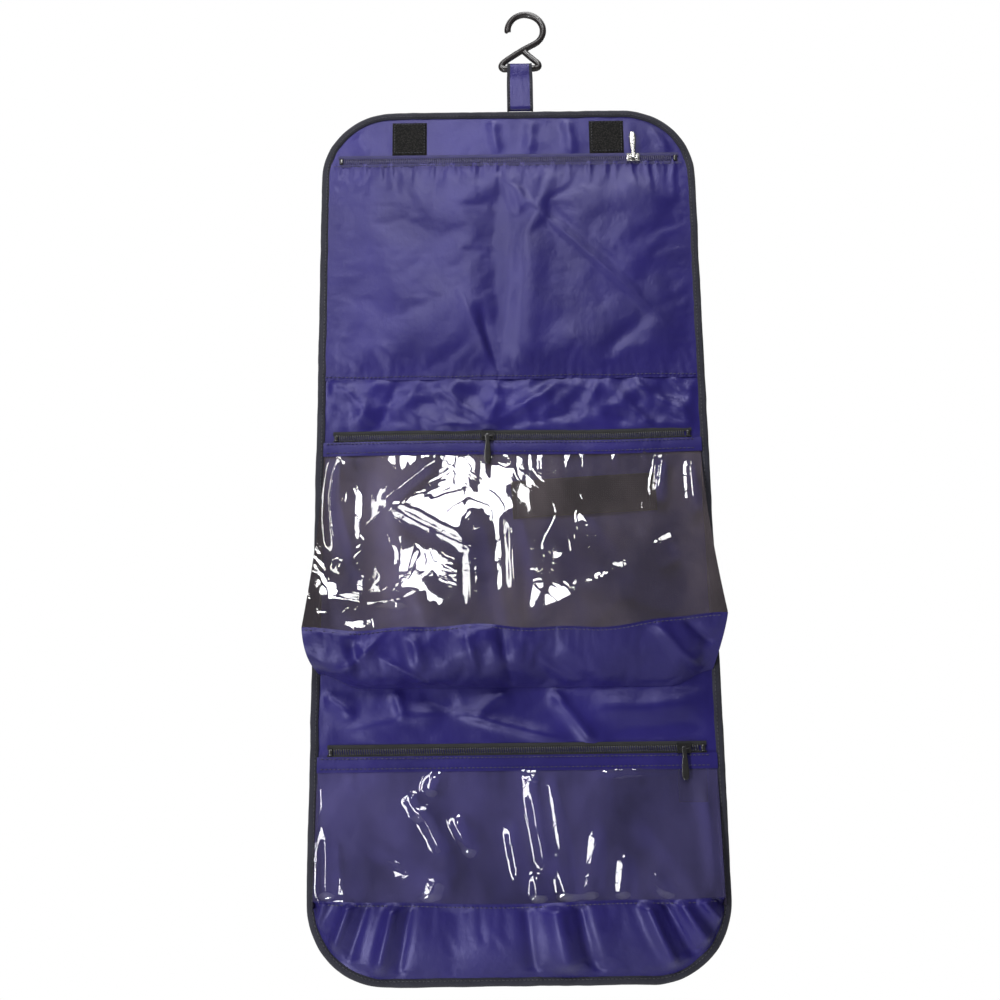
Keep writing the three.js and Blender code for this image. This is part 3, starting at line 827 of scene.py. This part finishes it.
def middle_front(x):
    """The film's wavy lower edge: (depth, down) along it."""
    down = MIDDLE_FILM[1] + 1.2 * np.sin(x / 21.0) + 0.8 * np.sin(x / 8.5 + 1) - 7.0 * smooth(70, 130, x)
    depth = MIDDLE_DEPTH - 1.5 + 0.9 * np.sin(x / 33.0 + 0.5) - 2.5 * smooth(60, 130, x)
    return depth, down


def middle_half(v):
    """Half the pocket's width, from its top to its wide front corner."""
    return EDGE - 0.8 + (MIDDLE_FLARE - EDGE + 1.3) * v**1.8


FILM_FOLDS = [
    # a bowed fold at each side, the flat that catches the light left of the middle, and creases that run from it
    ((-121, 258), (-126, 292), 4.6, 3.2), ((-126, 286), (-117, 328), 4.6, 3.2),
    ((-104, 258), (-98, 376), 12.0, -2.6), ((-88, 292), (-52, 262), 4.0, 2.6, 1.3),
    ((-86, 294), (-24, 328), 4.0, 2.8, 1.3), ((-28, 300), (-24, 374), 7.0, 2.6),
    ((-2, 300), (0, 364), 4.5, 2.6, 1.6), ((28, 330), (110, 352), 5.0, 1.0, 1.4),
    ((20, 366), (84, 334), 5.0, 1.0, 1.4), ((44, 300), (62, 330), 5.0, 1.0, 1.4),
    ((103, 258), (97, 292), 4.2, 3.0), ((123, 262), (122, 300), 4.4, 2.0), ((-118, 334), (-106, 346), 4.0, 2.4),
    ((-122, 358), (-50, 364), 4.0, 1.8, 1.3), ((-112, 369), (-60, 355), 3.5, 1.6, 1.3),
    ((-84, 354), (-72, 364), 4.0, 2.0), ((94, 326), (108, 319), 4.0, 1.6),
]


def film_waves(x, down, lines, seed, calm=0.0):
    """Folds and loose waves of a soft film; calm takes the loose ones away."""
    broad = 0.9 * cloud(x, down, 42, 60, seed) + 0.4 * cloud(x, down, 17, 26, seed + 1)
    ridged = 0.5 - np.abs(cloud(x, down, 15, 20, seed + 2))
    small = 0.07 * (0.5 - np.abs(cloud(x, down, 6, 8, seed + 3)))
    return folds(x, down, lines) + (1 - calm) * (broad + 0.35 * ridged + small)


def make_middle_window():
    rows, columns = 84, 170
    top = MIDDLE_FILM[0] - 2

    def shape(u, v):
        x = u * middle_half(v)
        front_depth, front_down = middle_front(x)
        down = top + v * (front_down - top)
        lean = CLOTH + (front_depth - CLOTH) * v**1.1
        rim = smooth(1.0, 0.93, np.abs(u)) * smooth(0, 0.1, v) * smooth(1.0, 0.93, v)
        gathers = pucker(x, down - top, 11.0, 8.0, 0.8, 43) * smooth(1.0, 0.95, np.abs(u))
        waves = film_waves(x, down, FILM_FOLDS, 41, calm=0.8 * smooth(6, 36, x))
        return x, np.maximum(lean + rim * waves + gathers, 2.4), down

    piece = surface("middle_window_film", rows, columns, shape, FILM)
    dress(piece, "clear_film", "middle", "middle_window")


def floor_curve(front, back, v, sag):
    """A floor of cloth from the film's lower edge back to the lining: (depth, down). It hangs down further in front
    the more it sags."""
    (d0, s0), (d1, s1) = front, back
    belly = np.sin(np.pi * v)
    return d0 + (d1 - d0) * v**(1 + 0.16 * sag) + 0.2 * sag * belly, s0 + (s1 - s0) * v + 0.5 * sag * belly


MIDDLE_PLEATS = [
    ((-126, 0.95), (-84, 0.05), 5.5, 5.0, 1.2), ((-88, 0.35), (-52, 1.0), 5.0, 4.4, 1.2),
    ((-66, 0.1), (-60, 0.6), 4.0, 2.2), ((-10, 0.0), (-2, 1.0), 4.0, -4.6, 1.3),
    ((-32, 0.05), (-25, 0.7), 4.0, 3.2, 1.3), ((-106, 0.1), (-98, 0.7), 4.0, -2.8),
    ((88, 0.0), (122, 0.9), 5.0, 4.6, 1.2), ((108, 0.0), (128, 0.5), 4.0, -3.4, 1.3),
    ((24, 0.2), (66, 1.0), 8.0, 2.2), ((14, 0.5), (40, 0.95), 4.0, 1.8),
]


def pleats(x, v, lines):
    """Folds that run from a seam, with v from 0 at the seam drawn as millimetres."""
    scaled = [((a[0], a[1] * 50), (b[0], b[1] * 50), *rest) for a, b, *rest in lines]
    return folds(x, v * 50, scaled)


def middle_back(share):
    """Where the floor is sewn to the lining: (depth, down), higher near the sides, where share is 1."""
    return LINING + 0.5, MIDDLE_FLOOR[1] + 1.0 - 10.0 * smooth(0.78, 1.0, share)


def make_middle_floor():
    rows, columns = 34, 130

    def shape(u, v):
        x = u * (middle_half(1.0) + (EDGE - middle_half(1.0)) * v**1.3)
        front = middle_front(x)
        depth, down = floor_curve(front, middle_back(np.abs(u)), v, middle_sag(x))
        rim = smooth(1.0, 0.95, np.abs(u)) * smooth(0, 0.08, v) * smooth(1.0, 0.9, v)
        facets = 4.6 * (crumple(x, v * 50, 27, 26, 53) - 0.4) * smooth(20, -10, x)
        depth = depth + rim * (pleats(x, v, MIDDLE_PLEATS) + facets + 0.6 * cloud(x, v * 50, 34, 18, 51))
        gathers = pucker(x, v * 48, 9.0, 9.0, 0.4, 52) * smooth(1.0, 0.96, np.abs(u))
        return x, np.maximum(depth + gathers, LINING + 0.4), down

    piece = surface("middle_floor_cloth", rows, columns, shape, NYLON)
    hold = 1 - loose(rows, columns, 0.95, 0.1, 0.92)
    settle(piece, hold, slack=0.008, frames=18, gravity=0.1, bending=0.2, limit=1.5)
    keep_in_front(piece, LINING + 0.3)
    dress(piece, "nylon", "middle", "middle_bottom_gusset")
    sew("middle_floor_stitch", "middle", middle_half(1.0), lambda x: np.add(middle_front(x), (0.6, 2.0)), 2)


def middle_sag(x):
    """The left half of the floor hangs fuller than the right."""
    return 0.8 + 6.2 * smooth(24, -16, x)


def middle_rim(side, v):
    """The front edge of a side gusset, down the film's side and then back along the floor's: (x, depth, down)."""
    turn = 0.72
    film_v, floor_v = np.clip(v / turn, 0, 1), np.clip((v - turn) / (1 - turn), 0, 1)
    x = middle_half(film_v)
    front_depth, front_down = middle_front(side * x)
    top = MIDDLE_FILM[0] - 2
    film_depth, film_down = CLOTH + (front_depth - CLOTH) * film_v**1.1, top + film_v * (front_down - top)
    floor_depth, floor_down = floor_curve((front_depth, front_down), middle_back(1.0), floor_v, middle_sag(side * x))
    on_floor = v > turn
    x = np.where(on_floor, x + (EDGE - x) * floor_v**1.3, x)
    return x, np.where(on_floor, floor_depth, film_depth), np.where(on_floor, floor_down, film_down)


def make_middle_sides():
    for hand, side in (("left", -1), ("right", 1)):
        def shape(u, v, side=side):
            t = (u + 1) / 2 if side > 0 else (1 - u) / 2
            rim_x, rim_depth, rim_down = middle_rim(side, v)
            top, bottom = MIDDLE_FILM[0] - 2, middle_back(1.0)[1]
            back_down = top + v * (bottom - top)
            tuck = -2.6 * np.sin(np.pi * t) * np.sin(np.pi * v)
            wander = 0.6 * cloud(back_down, t * 30, 9, 9, 61 + side) * np.sin(np.pi * t)
            x = rim_x + (EDGE - rim_x) * t + tuck + wander
            depth = rim_depth + (LINING + 0.4 - rim_depth) * t
            return side * x, depth, rim_down + (back_down - rim_down) * t

        piece = surface(f"middle_side_{hand}", 70, 18, shape, SIDE_CLOTH)
        dress(piece, "side_cloth", "middle", f"middle_side_gusset_{hand}")


def make_elastic():
    (lo, hi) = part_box("elastic_strap")
    middle_x = ((lo.x + hi.x) / 2 - BAG_X) / MM
    middle_down = down_of((lo.z + hi.z) / 2)
    wide, tall, tilt = 98.0, 26.0, math.radians(3)

    def tilted(a, depth, b):
        return (middle_x + a * math.cos(tilt) + b * math.sin(tilt), depth,
                middle_down - a * math.sin(tilt) + b * math.cos(tilt))

    def shape(u, v):
        a, b = u * wide / 2, (v - 0.5) * tall
        bow = 1.6 * np.cos(np.pi * u / 2) + 0.3 * cloud(a, b, 12, 30, 71)
        return tilted(a, 1.9 + bow, b)

    piece = surface("elastic_band", 12, 60, shape, ELASTIC)
    thick = piece.modifiers.new("thickness", "SOLIDIFY")
    thick.thickness = 0.7 * MM
    dress(piece, "elastic", "middle", "elastic_strap")
    for offset in (-45.5, 44.0):
        line = [place(*tilted(offset, 2.9, b)) for b in range(-11, 12, 2)]
        dress(stitch_along(f"elastic_tack_{int(offset)}", line, 2.0, BLACK_THREAD), "elastic", "middle")


# ---- lower pocket ----

LOWER_FOLDS = [
    ((-50, 462), (-57, 484), 5.0, 2.4), ((-70, 482), (-62, 498), 4.6, 2.2), ((-62, 490), (-46, 520), 5.4, 2.8),
    ((-42, 496), (-28, 520), 4.6, 2.6), ((0, 461), (14, 476), 5.0, 2.8), ((8, 472), (18, 532), 5.2, 3.2),
    ((21, 466), (30, 528), 4.6, 2.0), ((-6, 498), (2, 540), 4.6, 2.2), ((24, 518), (32, 552), 6.0, 2.6),
    ((52, 500), (42, 552), 5.0, 2.2), ((10, 530), (13, 552), 4.4, 2.6), ((68, 518), (63, 552), 4.6, 2.2),
    ((118, 476), (123, 542), 4.6, 2.2), ((-122, 508), (-121, 550), 4.4, 2.2), ((52, 470), (104, 468), 3.6, 2.4),
    ((-96, 480), (-78, 545), 9.0, -1.4), ((-100, 512), (-40, 540), 5.0, 1.6, 1.3),
    ((74, 500), (112, 546), 7.0, 1.6), ((-60, 552), (-42, 516), 4.0, 1.8, 1.3),
    ((84, 530), (96, 550), 4.4, 2.0),
]


def lower_front(x):
    """The lower film's edge: (depth, down) along it."""
    down = LOWER_FILM[1] + 1.0 * np.sin(x / 26.0 + 2) - 1.5 * smooth(90, 130, np.abs(x))
    depth = LOWER_DEPTH - 1.0 + 0.8 * np.sin(x / 30.0) - 4.0 * smooth(104, 130, np.abs(x))
    return depth, down


def make_lower_window():
    rows, columns = 64, 170
    top = LOWER_FILM[0] - 2

    def shape(u, v):
        x = u * (EDGE - 0.3)
        front_depth, front_down = lower_front(x)
        down = top + v * (front_down - top)
        lean = CLOTH + (front_depth - CLOTH) * v
        rim = smooth(1.0, 0.94, np.abs(u)) * smooth(0, 0.1, v) * smooth(1.0, 0.93, v)
        gathers = pucker(x, down - top, 12.0, 10.0, 0.6, 83) * smooth(1.0, 0.95, np.abs(u))
        waves = 1.1 * film_waves(x, down, LOWER_FOLDS, 81)
        return x, np.maximum(lean + rim * waves + gathers, 2.4), down

    piece = surface("lower_window_film", rows, columns, shape, LOWER_CLEAR)
    dress(piece, "clear_film", "lower", "lower_window")


RAYS = [
    # (share of the way round from the middle, width in that share, height)
    (-0.94, 0.022, 4.0), (-0.81, 0.026, 5.2), (-0.73, 0.022, -3.0), (-0.6, 0.03, 6.4), (-0.52, 0.022, -2.6),
    (-0.3, 0.1, -1.6), (0.03, 0.03, -2.4), (0.17, 0.055, 6.4), (0.28, 0.03, -3.6), (0.42, 0.06, -1.0),
    (0.6, 0.034, 6.2), (0.69, 0.022, -4.0), (0.77, 0.026, 5.4), (0.88, 0.026, 5.4), (0.95, 0.02, -2.8),
]


def make_lower_floor():
    rows, columns = 40, 150
    inset = BINDING - 0.6
    radius, straight = CORNER - inset, HALF_WIDTH - CORNER

    def shape(u, v):
        round_way = np.abs(u) * (straight + radius * math.pi / 2)
        turn = np.clip((round_way - straight) / radius, 0, math.pi / 2)
        back_x = np.sign(u) * (np.minimum(round_way, straight) + radius * np.sin(turn))
        back_down = HEIGHT - CORNER + radius * np.cos(turn)
        x0 = u * (EDGE - 0.3)
        front_depth, front_down = lower_front(x0)
        x = x0 + (back_x - x0) * v
        belly = np.sin(np.pi * v) * (2.5 * smooth(1.0, 0.7, np.abs(u)))
        down = front_down + (np.maximum(back_down, front_down) - front_down) * v
        depth = front_depth + (LINING + 0.4 - front_depth) * v**1.15 + belly
        rays = sum(h * np.exp(-((u - at - 0.03 * v) / w) ** 2) for at, w, h in RAYS)
        rim = smooth(0.0, 0.12, v) * smooth(1.02, 0.75, v) * smooth(1.0, 0.96, np.abs(u))
        depth = depth + rim * (rays + 0.4 * cloud(x, down, 30, 20, 91))
        gathers = pucker(x, v * 40, 9.0, 7.0, 0.2, 92) * smooth(1.0, 0.95, np.abs(u))
        return x, np.maximum(depth + gathers, LINING + 0.4), down

    piece = surface("lower_floor_cloth", rows, columns, shape, NYLON)
    hold = 1 - loose(rows, columns, 0.92, 0.1, 0.9)
    settle(piece, hold, slack=0.005, frames=16, gravity=0.1, bending=0.2, limit=1.2)
    keep_in_front(piece, LINING + 0.3)
    dress(piece, "nylon", "lower", "lower_bottom_gusset")
    sew("lower_floor_stitch", "lower", EDGE, lambda x: np.add(lower_front(x), (0.5, 2.0)), 4)


def make_lower_sides():
    for hand, side in (("left", -1), ("right", 1)):
        def shape(u, v, side=side):
            top, bottom = LOWER_FILM[0], LOWER_FILM[1] + 4
            down = top + v * (bottom - top)
            t = (u + 1) / 2 if side > 0 else (1 - u) / 2
            film_v = np.clip((down - top) / (LOWER_FILM[1] - top), 0, 1)
            front = CLOTH + (lower_front(side * EDGE)[0] - CLOTH) * film_v
            x = EDGE - 0.2 - 1.6 * np.sin(np.pi * t) * np.sin(np.pi * v) + 0.4 * cloud(down, t * 20, 8, 8, 66 + side)
            return side * x, LINING + 0.4 + (front - LINING - 0.4) * (1 - t), down

        piece = surface(f"lower_side_{hand}", 40, 10, shape, SIDE_CLOTH)
        dress(piece, "side_cloth", "lower", f"lower_side_gusset_{hand}")


def make_tape_end():
    lo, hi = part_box("lower_zip_tape_end")
    x0, x1 = (lo.x - BAG_X) / MM, (hi.x - BAG_X) / MM
    top, bottom = ends("lower_zip_tape_end")
    piece = strip("lower_tape_end_cloth", x0, x1, top - 6, bottom, 1.9, ZIP_TAPE, 77, 0.4, rows=10)
    dress(piece, "zip_tape", "lower", "lower_zip_tape_end")


# ---- facings ----


def make_facings():
    for section, line, film_top, shift in (
            ("middle", MIDDLE_ZIP, MIDDLE_FILM[0], zip_line), ("lower", LOWER_ZIP, LOWER_FILM[0], None)):
        piece = strip(f"{section}_facing_cloth", -EDGE, EDGE, line + 3.0, film_top + 0.6, 2.7, NYLON,
                      101, 0.45, rows=9, lean=0.3, shift=shift)
        dress(piece, "nylon", section, f"{section}_zip_facing")
        for number, at in enumerate((line + 4.3, film_top - 1.6)):
            def thread_line(x):
                return 3.35, at + (float(shift(np.array(x))) if shift else 0.0)

            sew(f"{section}_facing_stitch_{number + 1}", section, EDGE, thread_line, 2)


# ---- hook-and-loop squares ----


def make_patches():
    for kind, body in (("hook_patch", "upper"), ("loop_patch", "lower_fold")):
        for hand in ("left", "right"):
            lo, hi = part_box(f"{kind}_{hand}")
            centre = (lo + hi) / 2
            facing = 1 if kind == "hook_patch" else -1
            middle_x, middle_down = (centre.x - BAG_X) / MM, down_of(centre.z)
            wide, tall = (hi.x - lo.x) / MM, (hi.z - lo.z) / MM

            def shape(u, v):
                w = 2 * v - 1
                out = np.clip(np.minimum(1 - np.abs(u), 1 - np.abs(w)) * 7, 0, 1) ** 0.5
                x = middle_x + u * wide / 2 * facing
                down = middle_down + w * tall / 2
                fuzzy = 0.12 * cloud(x * 3, down * 3, 2, 2, 111)
                return x, facing * (1.5 + 1.5 * out + fuzzy), down

            piece = surface(f"{kind}_pile_{hand}", 26, 26, shape, HOOK_AND_LOOP)
            dress(piece, "hook_and_loop", body, f"{kind}_{hand}")
            edge = 1.8
            corners = [(-1, -1), (1, -1), (1, 1), (-1, 1), (-1, -1)]
            line = [place(middle_x + a * (wide / 2 - edge), 2.85 * facing,
                          middle_down + b * (tall / 2 - edge)) for a, b in corners]
            thread = stitch_along(f"{kind}_stitch_{hand}", line, 2.2, BLACK_THREAD, 0.3)
            dress(thread, "hook_and_loop", body)


# ---- hook and strap ----


def sweep(name, line, radius, material, sides=20):
    """A round rod along a smooth line in the hook's own plane, with round ends."""
    line = [Vector((x * MM, 0, z * MM)) for x, z in line]
    points = []
    count = len(line)
    for i, spot in enumerate(line):
        ahead, behind = line[min(i + 1, count - 1)], line[max(i - 1, 0)]
        along = (ahead - behind).normalized()
        side = Vector((0, 1, 0))
        out = along.cross(side).normalized()
        for turn in range(sides):
            angle = 2 * math.pi * turn / sides
            points.append(spot + (side * math.cos(angle) + out * math.sin(angle)) * radius(i / (count - 1)) * MM)
    faces = loft(count, sides, closed=True, turned=True)
    faces.append(tuple(reversed(range(sides))))
    faces.append(tuple((count - 1) * sides + i for i in range(sides)))
    return solid(name, points, faces, material)


def through(points, steps):
    """A smooth curve through points, by centripetal Catmull-Rom."""
    p = [np.array(q, float) for q in points]
    p = [2 * p[0] - p[1]] + p + [2 * p[-1] - p[-2]]
    out = []
    for i in range(1, len(p) - 2):
        t = [0.0]
        for k in range(3):
            t.append(t[-1] + math.sqrt(np.linalg.norm(p[i + k] - p[i + k - 1])))
        for s in np.linspace(t[1], t[2], steps, endpoint=False):
            a1 = ((t[1] - s) * p[i - 1] + (s - t[0]) * p[i]) / (t[1] - t[0])
            a2 = ((t[2] - s) * p[i] + (s - t[1]) * p[i + 1]) / (t[2] - t[1])
            a3 = ((t[3] - s) * p[i + 1] + (s - t[2]) * p[i + 2]) / (t[3] - t[2])
            b1 = ((t[2] - s) * a1 + (s - t[0]) * a2) / (t[2] - t[0])
            b2 = ((t[3] - s) * a2 + (s - t[1]) * a3) / (t[3] - t[1])
            out.append(((t[2] - s) * b1 + (s - t[1]) * b2) / (t[2] - t[1]))
    out.append(p[-2])
    return out


# the hook hangs at the frame's origin
WIRE = 2.4  # the rod's radius
CROOK_RADIUS = 13.1
BAR_Z = -42.0  # height of the bar the strap goes round
STRAP_X = -4.75


def make_hook():
    crook = []
    for angle in range(186, -55, -12):
        turn = math.radians(angle)
        crook.append((CROOK_RADIUS * math.cos(turn), WIRE - CROOK_RADIUS + CROOK_RADIUS * math.sin(turn)))
    shaft = [(-2.2, -27), (-10, -32.2), (-15.2, -36), (-17.4, -38.4), (-17.9, -40.6), (-16.4, BAR_Z)]
    rod = through([*crook, *shaft, (-10, BAR_Z), (0, BAR_Z), (7, BAR_Z)], 5)

    def tip(t):
        return WIRE * min(1.0, math.sqrt(max(0.0, 1 - (1 - min(t / 0.012, 1)) ** 2)) + 0.12)

    piece = sweep("hook_rod", rod, tip, HOOK_PLASTIC)
    arm = through([(5, BAR_Z), (7.4, -41.9), (9.3, -40.7), (9.0, -38), (4, -33.2), (-1.6, -27.8)], 6)
    branch = sweep("hook_arm", arm, lambda t: WIRE * (0.98 - 0.08 * t), HOOK_PLASTIC)
    dress(piece, "hook_plastic", "hook", "hook")
    dress(branch, "hook_plastic", "hook")


def make_strap():
    lo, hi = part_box("hanger_strap")
    wide = (hi.x - lo.x) / MM
    radius = WIRE + 0.75
    # side view of the loop, as (y, z): up the back, over the bar and down the front
    bottom = lo.z / MM
    course = [(1.1, bottom), (1.2, bottom + 12), (1.6, BAR_Z - 9), (2.6, BAR_Z - 4)]
    for angle in range(-10, 191, 20):
        turn = math.radians(angle)
        course.append((radius * math.cos(turn), BAR_Z + radius * math.sin(turn)))
    course += [(-2.6, BAR_Z - 4), (-1.6, BAR_Z - 9), (-1.2, bottom + 12), (-1.1, bottom)]
    line = through(course, 4)
    columns = 26
    points = []
    for y, z in line:
        for c in range(columns):
            u = 2 * c / (columns - 1) - 1
            squeeze = 1 - 0.05 * float(smooth(BAR_Z - 12, BAR_Z, z))
            ripple = 0.18 * noise.noise((u * 4, z / 6, 5.0)) + 0.25 * (abs(u) > 0.9)
            x = STRAP_X + u * wide / 2 * squeeze
            points.append((x * MM, (y + ripple * (1 if y > 0 else -1)) * MM, z * MM))
    piece = quads("strap_loop", points, len(line), columns, NYLON)
    piece.data.materials.append(BINDING_TAPE)
    for face in piece.data.polygons:  # a dark edge, three faces wide, down each side
        across = face.index % (columns - 1)
        face.material_index = int(min(across, columns - 2 - across) < 3)
    piece.data.flip_normals()
    thick = piece.modifiers.new("thickness", "SOLIDIFY")
    thick.thickness, thick.offset = 0.5 * MM, -1
    dress(piece, "nylon", "hanger", "hanger_strap")
    for side in (-1, 1):
        x = STRAP_X + side * (wide / 2 - 1.6)
        line = [(x * MM, -1.9 * MM, z * MM) for z in np.arange(bottom + 1, BAR_Z - 9, 2.0)]
        dress(stitch_along(f"strap_stitch_{side + 1}", line, 2.4, BLACK_THREAD), "nylon", "hanger")


# ---- stage ----


def seen_apart(tree, output, cast, seen):
    """The camera gets one look of the stage and the light it casts comes from another."""
    ray, mix = tree.nodes.new("ShaderNodeLightPath"), tree.nodes.new("ShaderNodeMixShader")
    for source, entry in ((ray.outputs["Is Camera Ray"], 0), (cast, 1), (seen, 2)):
        tree.links.new(source, mix.inputs[entry])
    tree.links.new(mix.outputs[0], output.inputs["Surface"])


def make_stage():
    scene = bpy.context.scene
    scene.world = bpy.data.worlds.new("white room")
    scene.world.use_nodes = True
    tree = scene.world.node_tree
    tree.nodes.clear()
    output = tree.nodes.new("ShaderNodeOutputWorld")
    seen, cast = tree.nodes.new("ShaderNodeBackground"), tree.nodes.new("ShaderNodeBackground")
    seen.inputs["Color"].default_value = (1, 1, 1, 1)
    cast.inputs["Color"].default_value = (0.95, 0.97, 1, 1)
    cast.inputs["Strength"].default_value = 0.11
    seen_apart(tree, output, cast.outputs[0], seen.outputs[0])
    scene.view_settings.view_transform = "Standard"

    paint = plastic("floor_paint", (0.8, 0.8, 0.79), (0.84, 0.84, 0.83), 0.7)
    tree = paint.node_tree
    output = next(node for node in tree.nodes if node.type == "OUTPUT_MATERIAL")
    lit = output.inputs["Surface"].links[0].from_socket
    glow, both = tree.nodes.new("ShaderNodeEmission"), tree.nodes.new("ShaderNodeAddShader")
    glow.inputs["Strength"].default_value = 0.55
    tree.links.new(lit, both.inputs[0])
    tree.links.new(glow.outputs[0], both.inputs[1])
    seen_apart(tree, output, lit, both.outputs[0])
    floor = solid("floor", [(-2.4, -2.6, -1.4), (2.4, -2.6, -1.4), (2.4, 2.6, -1.4), (-2.4, 2.6, -1.4)],
                  [(0, 1, 2, 3)], paint)


def area_light(name, offset, size, power, colour=(1, 1, 1), target=(0, 0, 0)):
    """A rectangular light that faces the target; both places are in metres from the bag's middle."""
    centre = point(0, 0, 290)
    place_at, target = centre + Vector(offset), centre + Vector(target)
    data = bpy.data.lights.new(name, "AREA")
    data.shape = "RECTANGLE"
    data.size, data.size_y = size
    data.energy = power
    data.color = colour
    lamp = bpy.data.objects.new(name, data)
    bpy.context.scene.collection.objects.link(lamp)
    lamp.location = place_at
    lamp.rotation_euler = (target - place_at).to_track_quat("-Z", "Y").to_euler()


def make_lights():
    area_light("window", (-0.12, -1.05, 0.815), (0.25, 0.26), 5)
    area_light("strip", (-0.85, -1.0, 0.5), (0.2, 1.1), 8.5)
    area_light("lamp", (-0.68, -1.05, -0.05), (0.16, 0.55), 3.6)
    area_light("soft", (0.15, -0.8, 1.5), (0.5, 0.5), 10)
    area_light("low", (-0.5, -0.75, -0.95), (0.16, 0.16), 5.0, (0.95, 0.96, 1))
    area_light("top", (0, 0.5, 1.5), (1.6, 0.8), 16, target=(0, 0.3, 0))
    area_light("back", (0.5, 1.5, 0.4), (1.0, 1.2), 18)


def make_camera():
    """The camera stands below the bag's middle and looks up at it, with the bag leaning a little in the picture."""
    distance, rise, lean = 0.748, math.radians(11.5), math.radians(0.7)
    aim = point(-9, 0, 290)
    data = bpy.data.cameras.new("camera")
    data.sensor_width = 36
    data.lens = 39.6
    camera = bpy.data.objects.new("camera", data)
    bpy.context.scene.collection.objects.link(camera)
    camera.location = aim + Vector((0, -math.cos(rise), -math.sin(rise))) * distance
    look = (aim - camera.location).to_track_quat("-Z", "Y").to_matrix().to_4x4()
    camera.rotation_euler = (look @ Matrix.Rotation(-lean, 4, "Z")).to_euler()
    data.clip_start, data.clip_end = 0.01, 20
    bpy.context.scene.camera = camera


make_stage()
make_lights()
make_camera()
make_lining()
make_shell()
make_binding()
make_upper_pocket()
make_patches()
make_zip("upper", UPPER_ZIP, NAVY_TAPE)
make_zip("middle", MIDDLE_ZIP, ZIP_TAPE, zip_line)
make_zip("lower", LOWER_ZIP, ZIP_TAPE)
make_facings()
make_elastic()
make_middle_window()
make_middle_floor()
make_middle_sides()
make_tape_end()
make_lower_window()
make_lower_floor()
make_lower_sides()
make_hook()
make_strap()
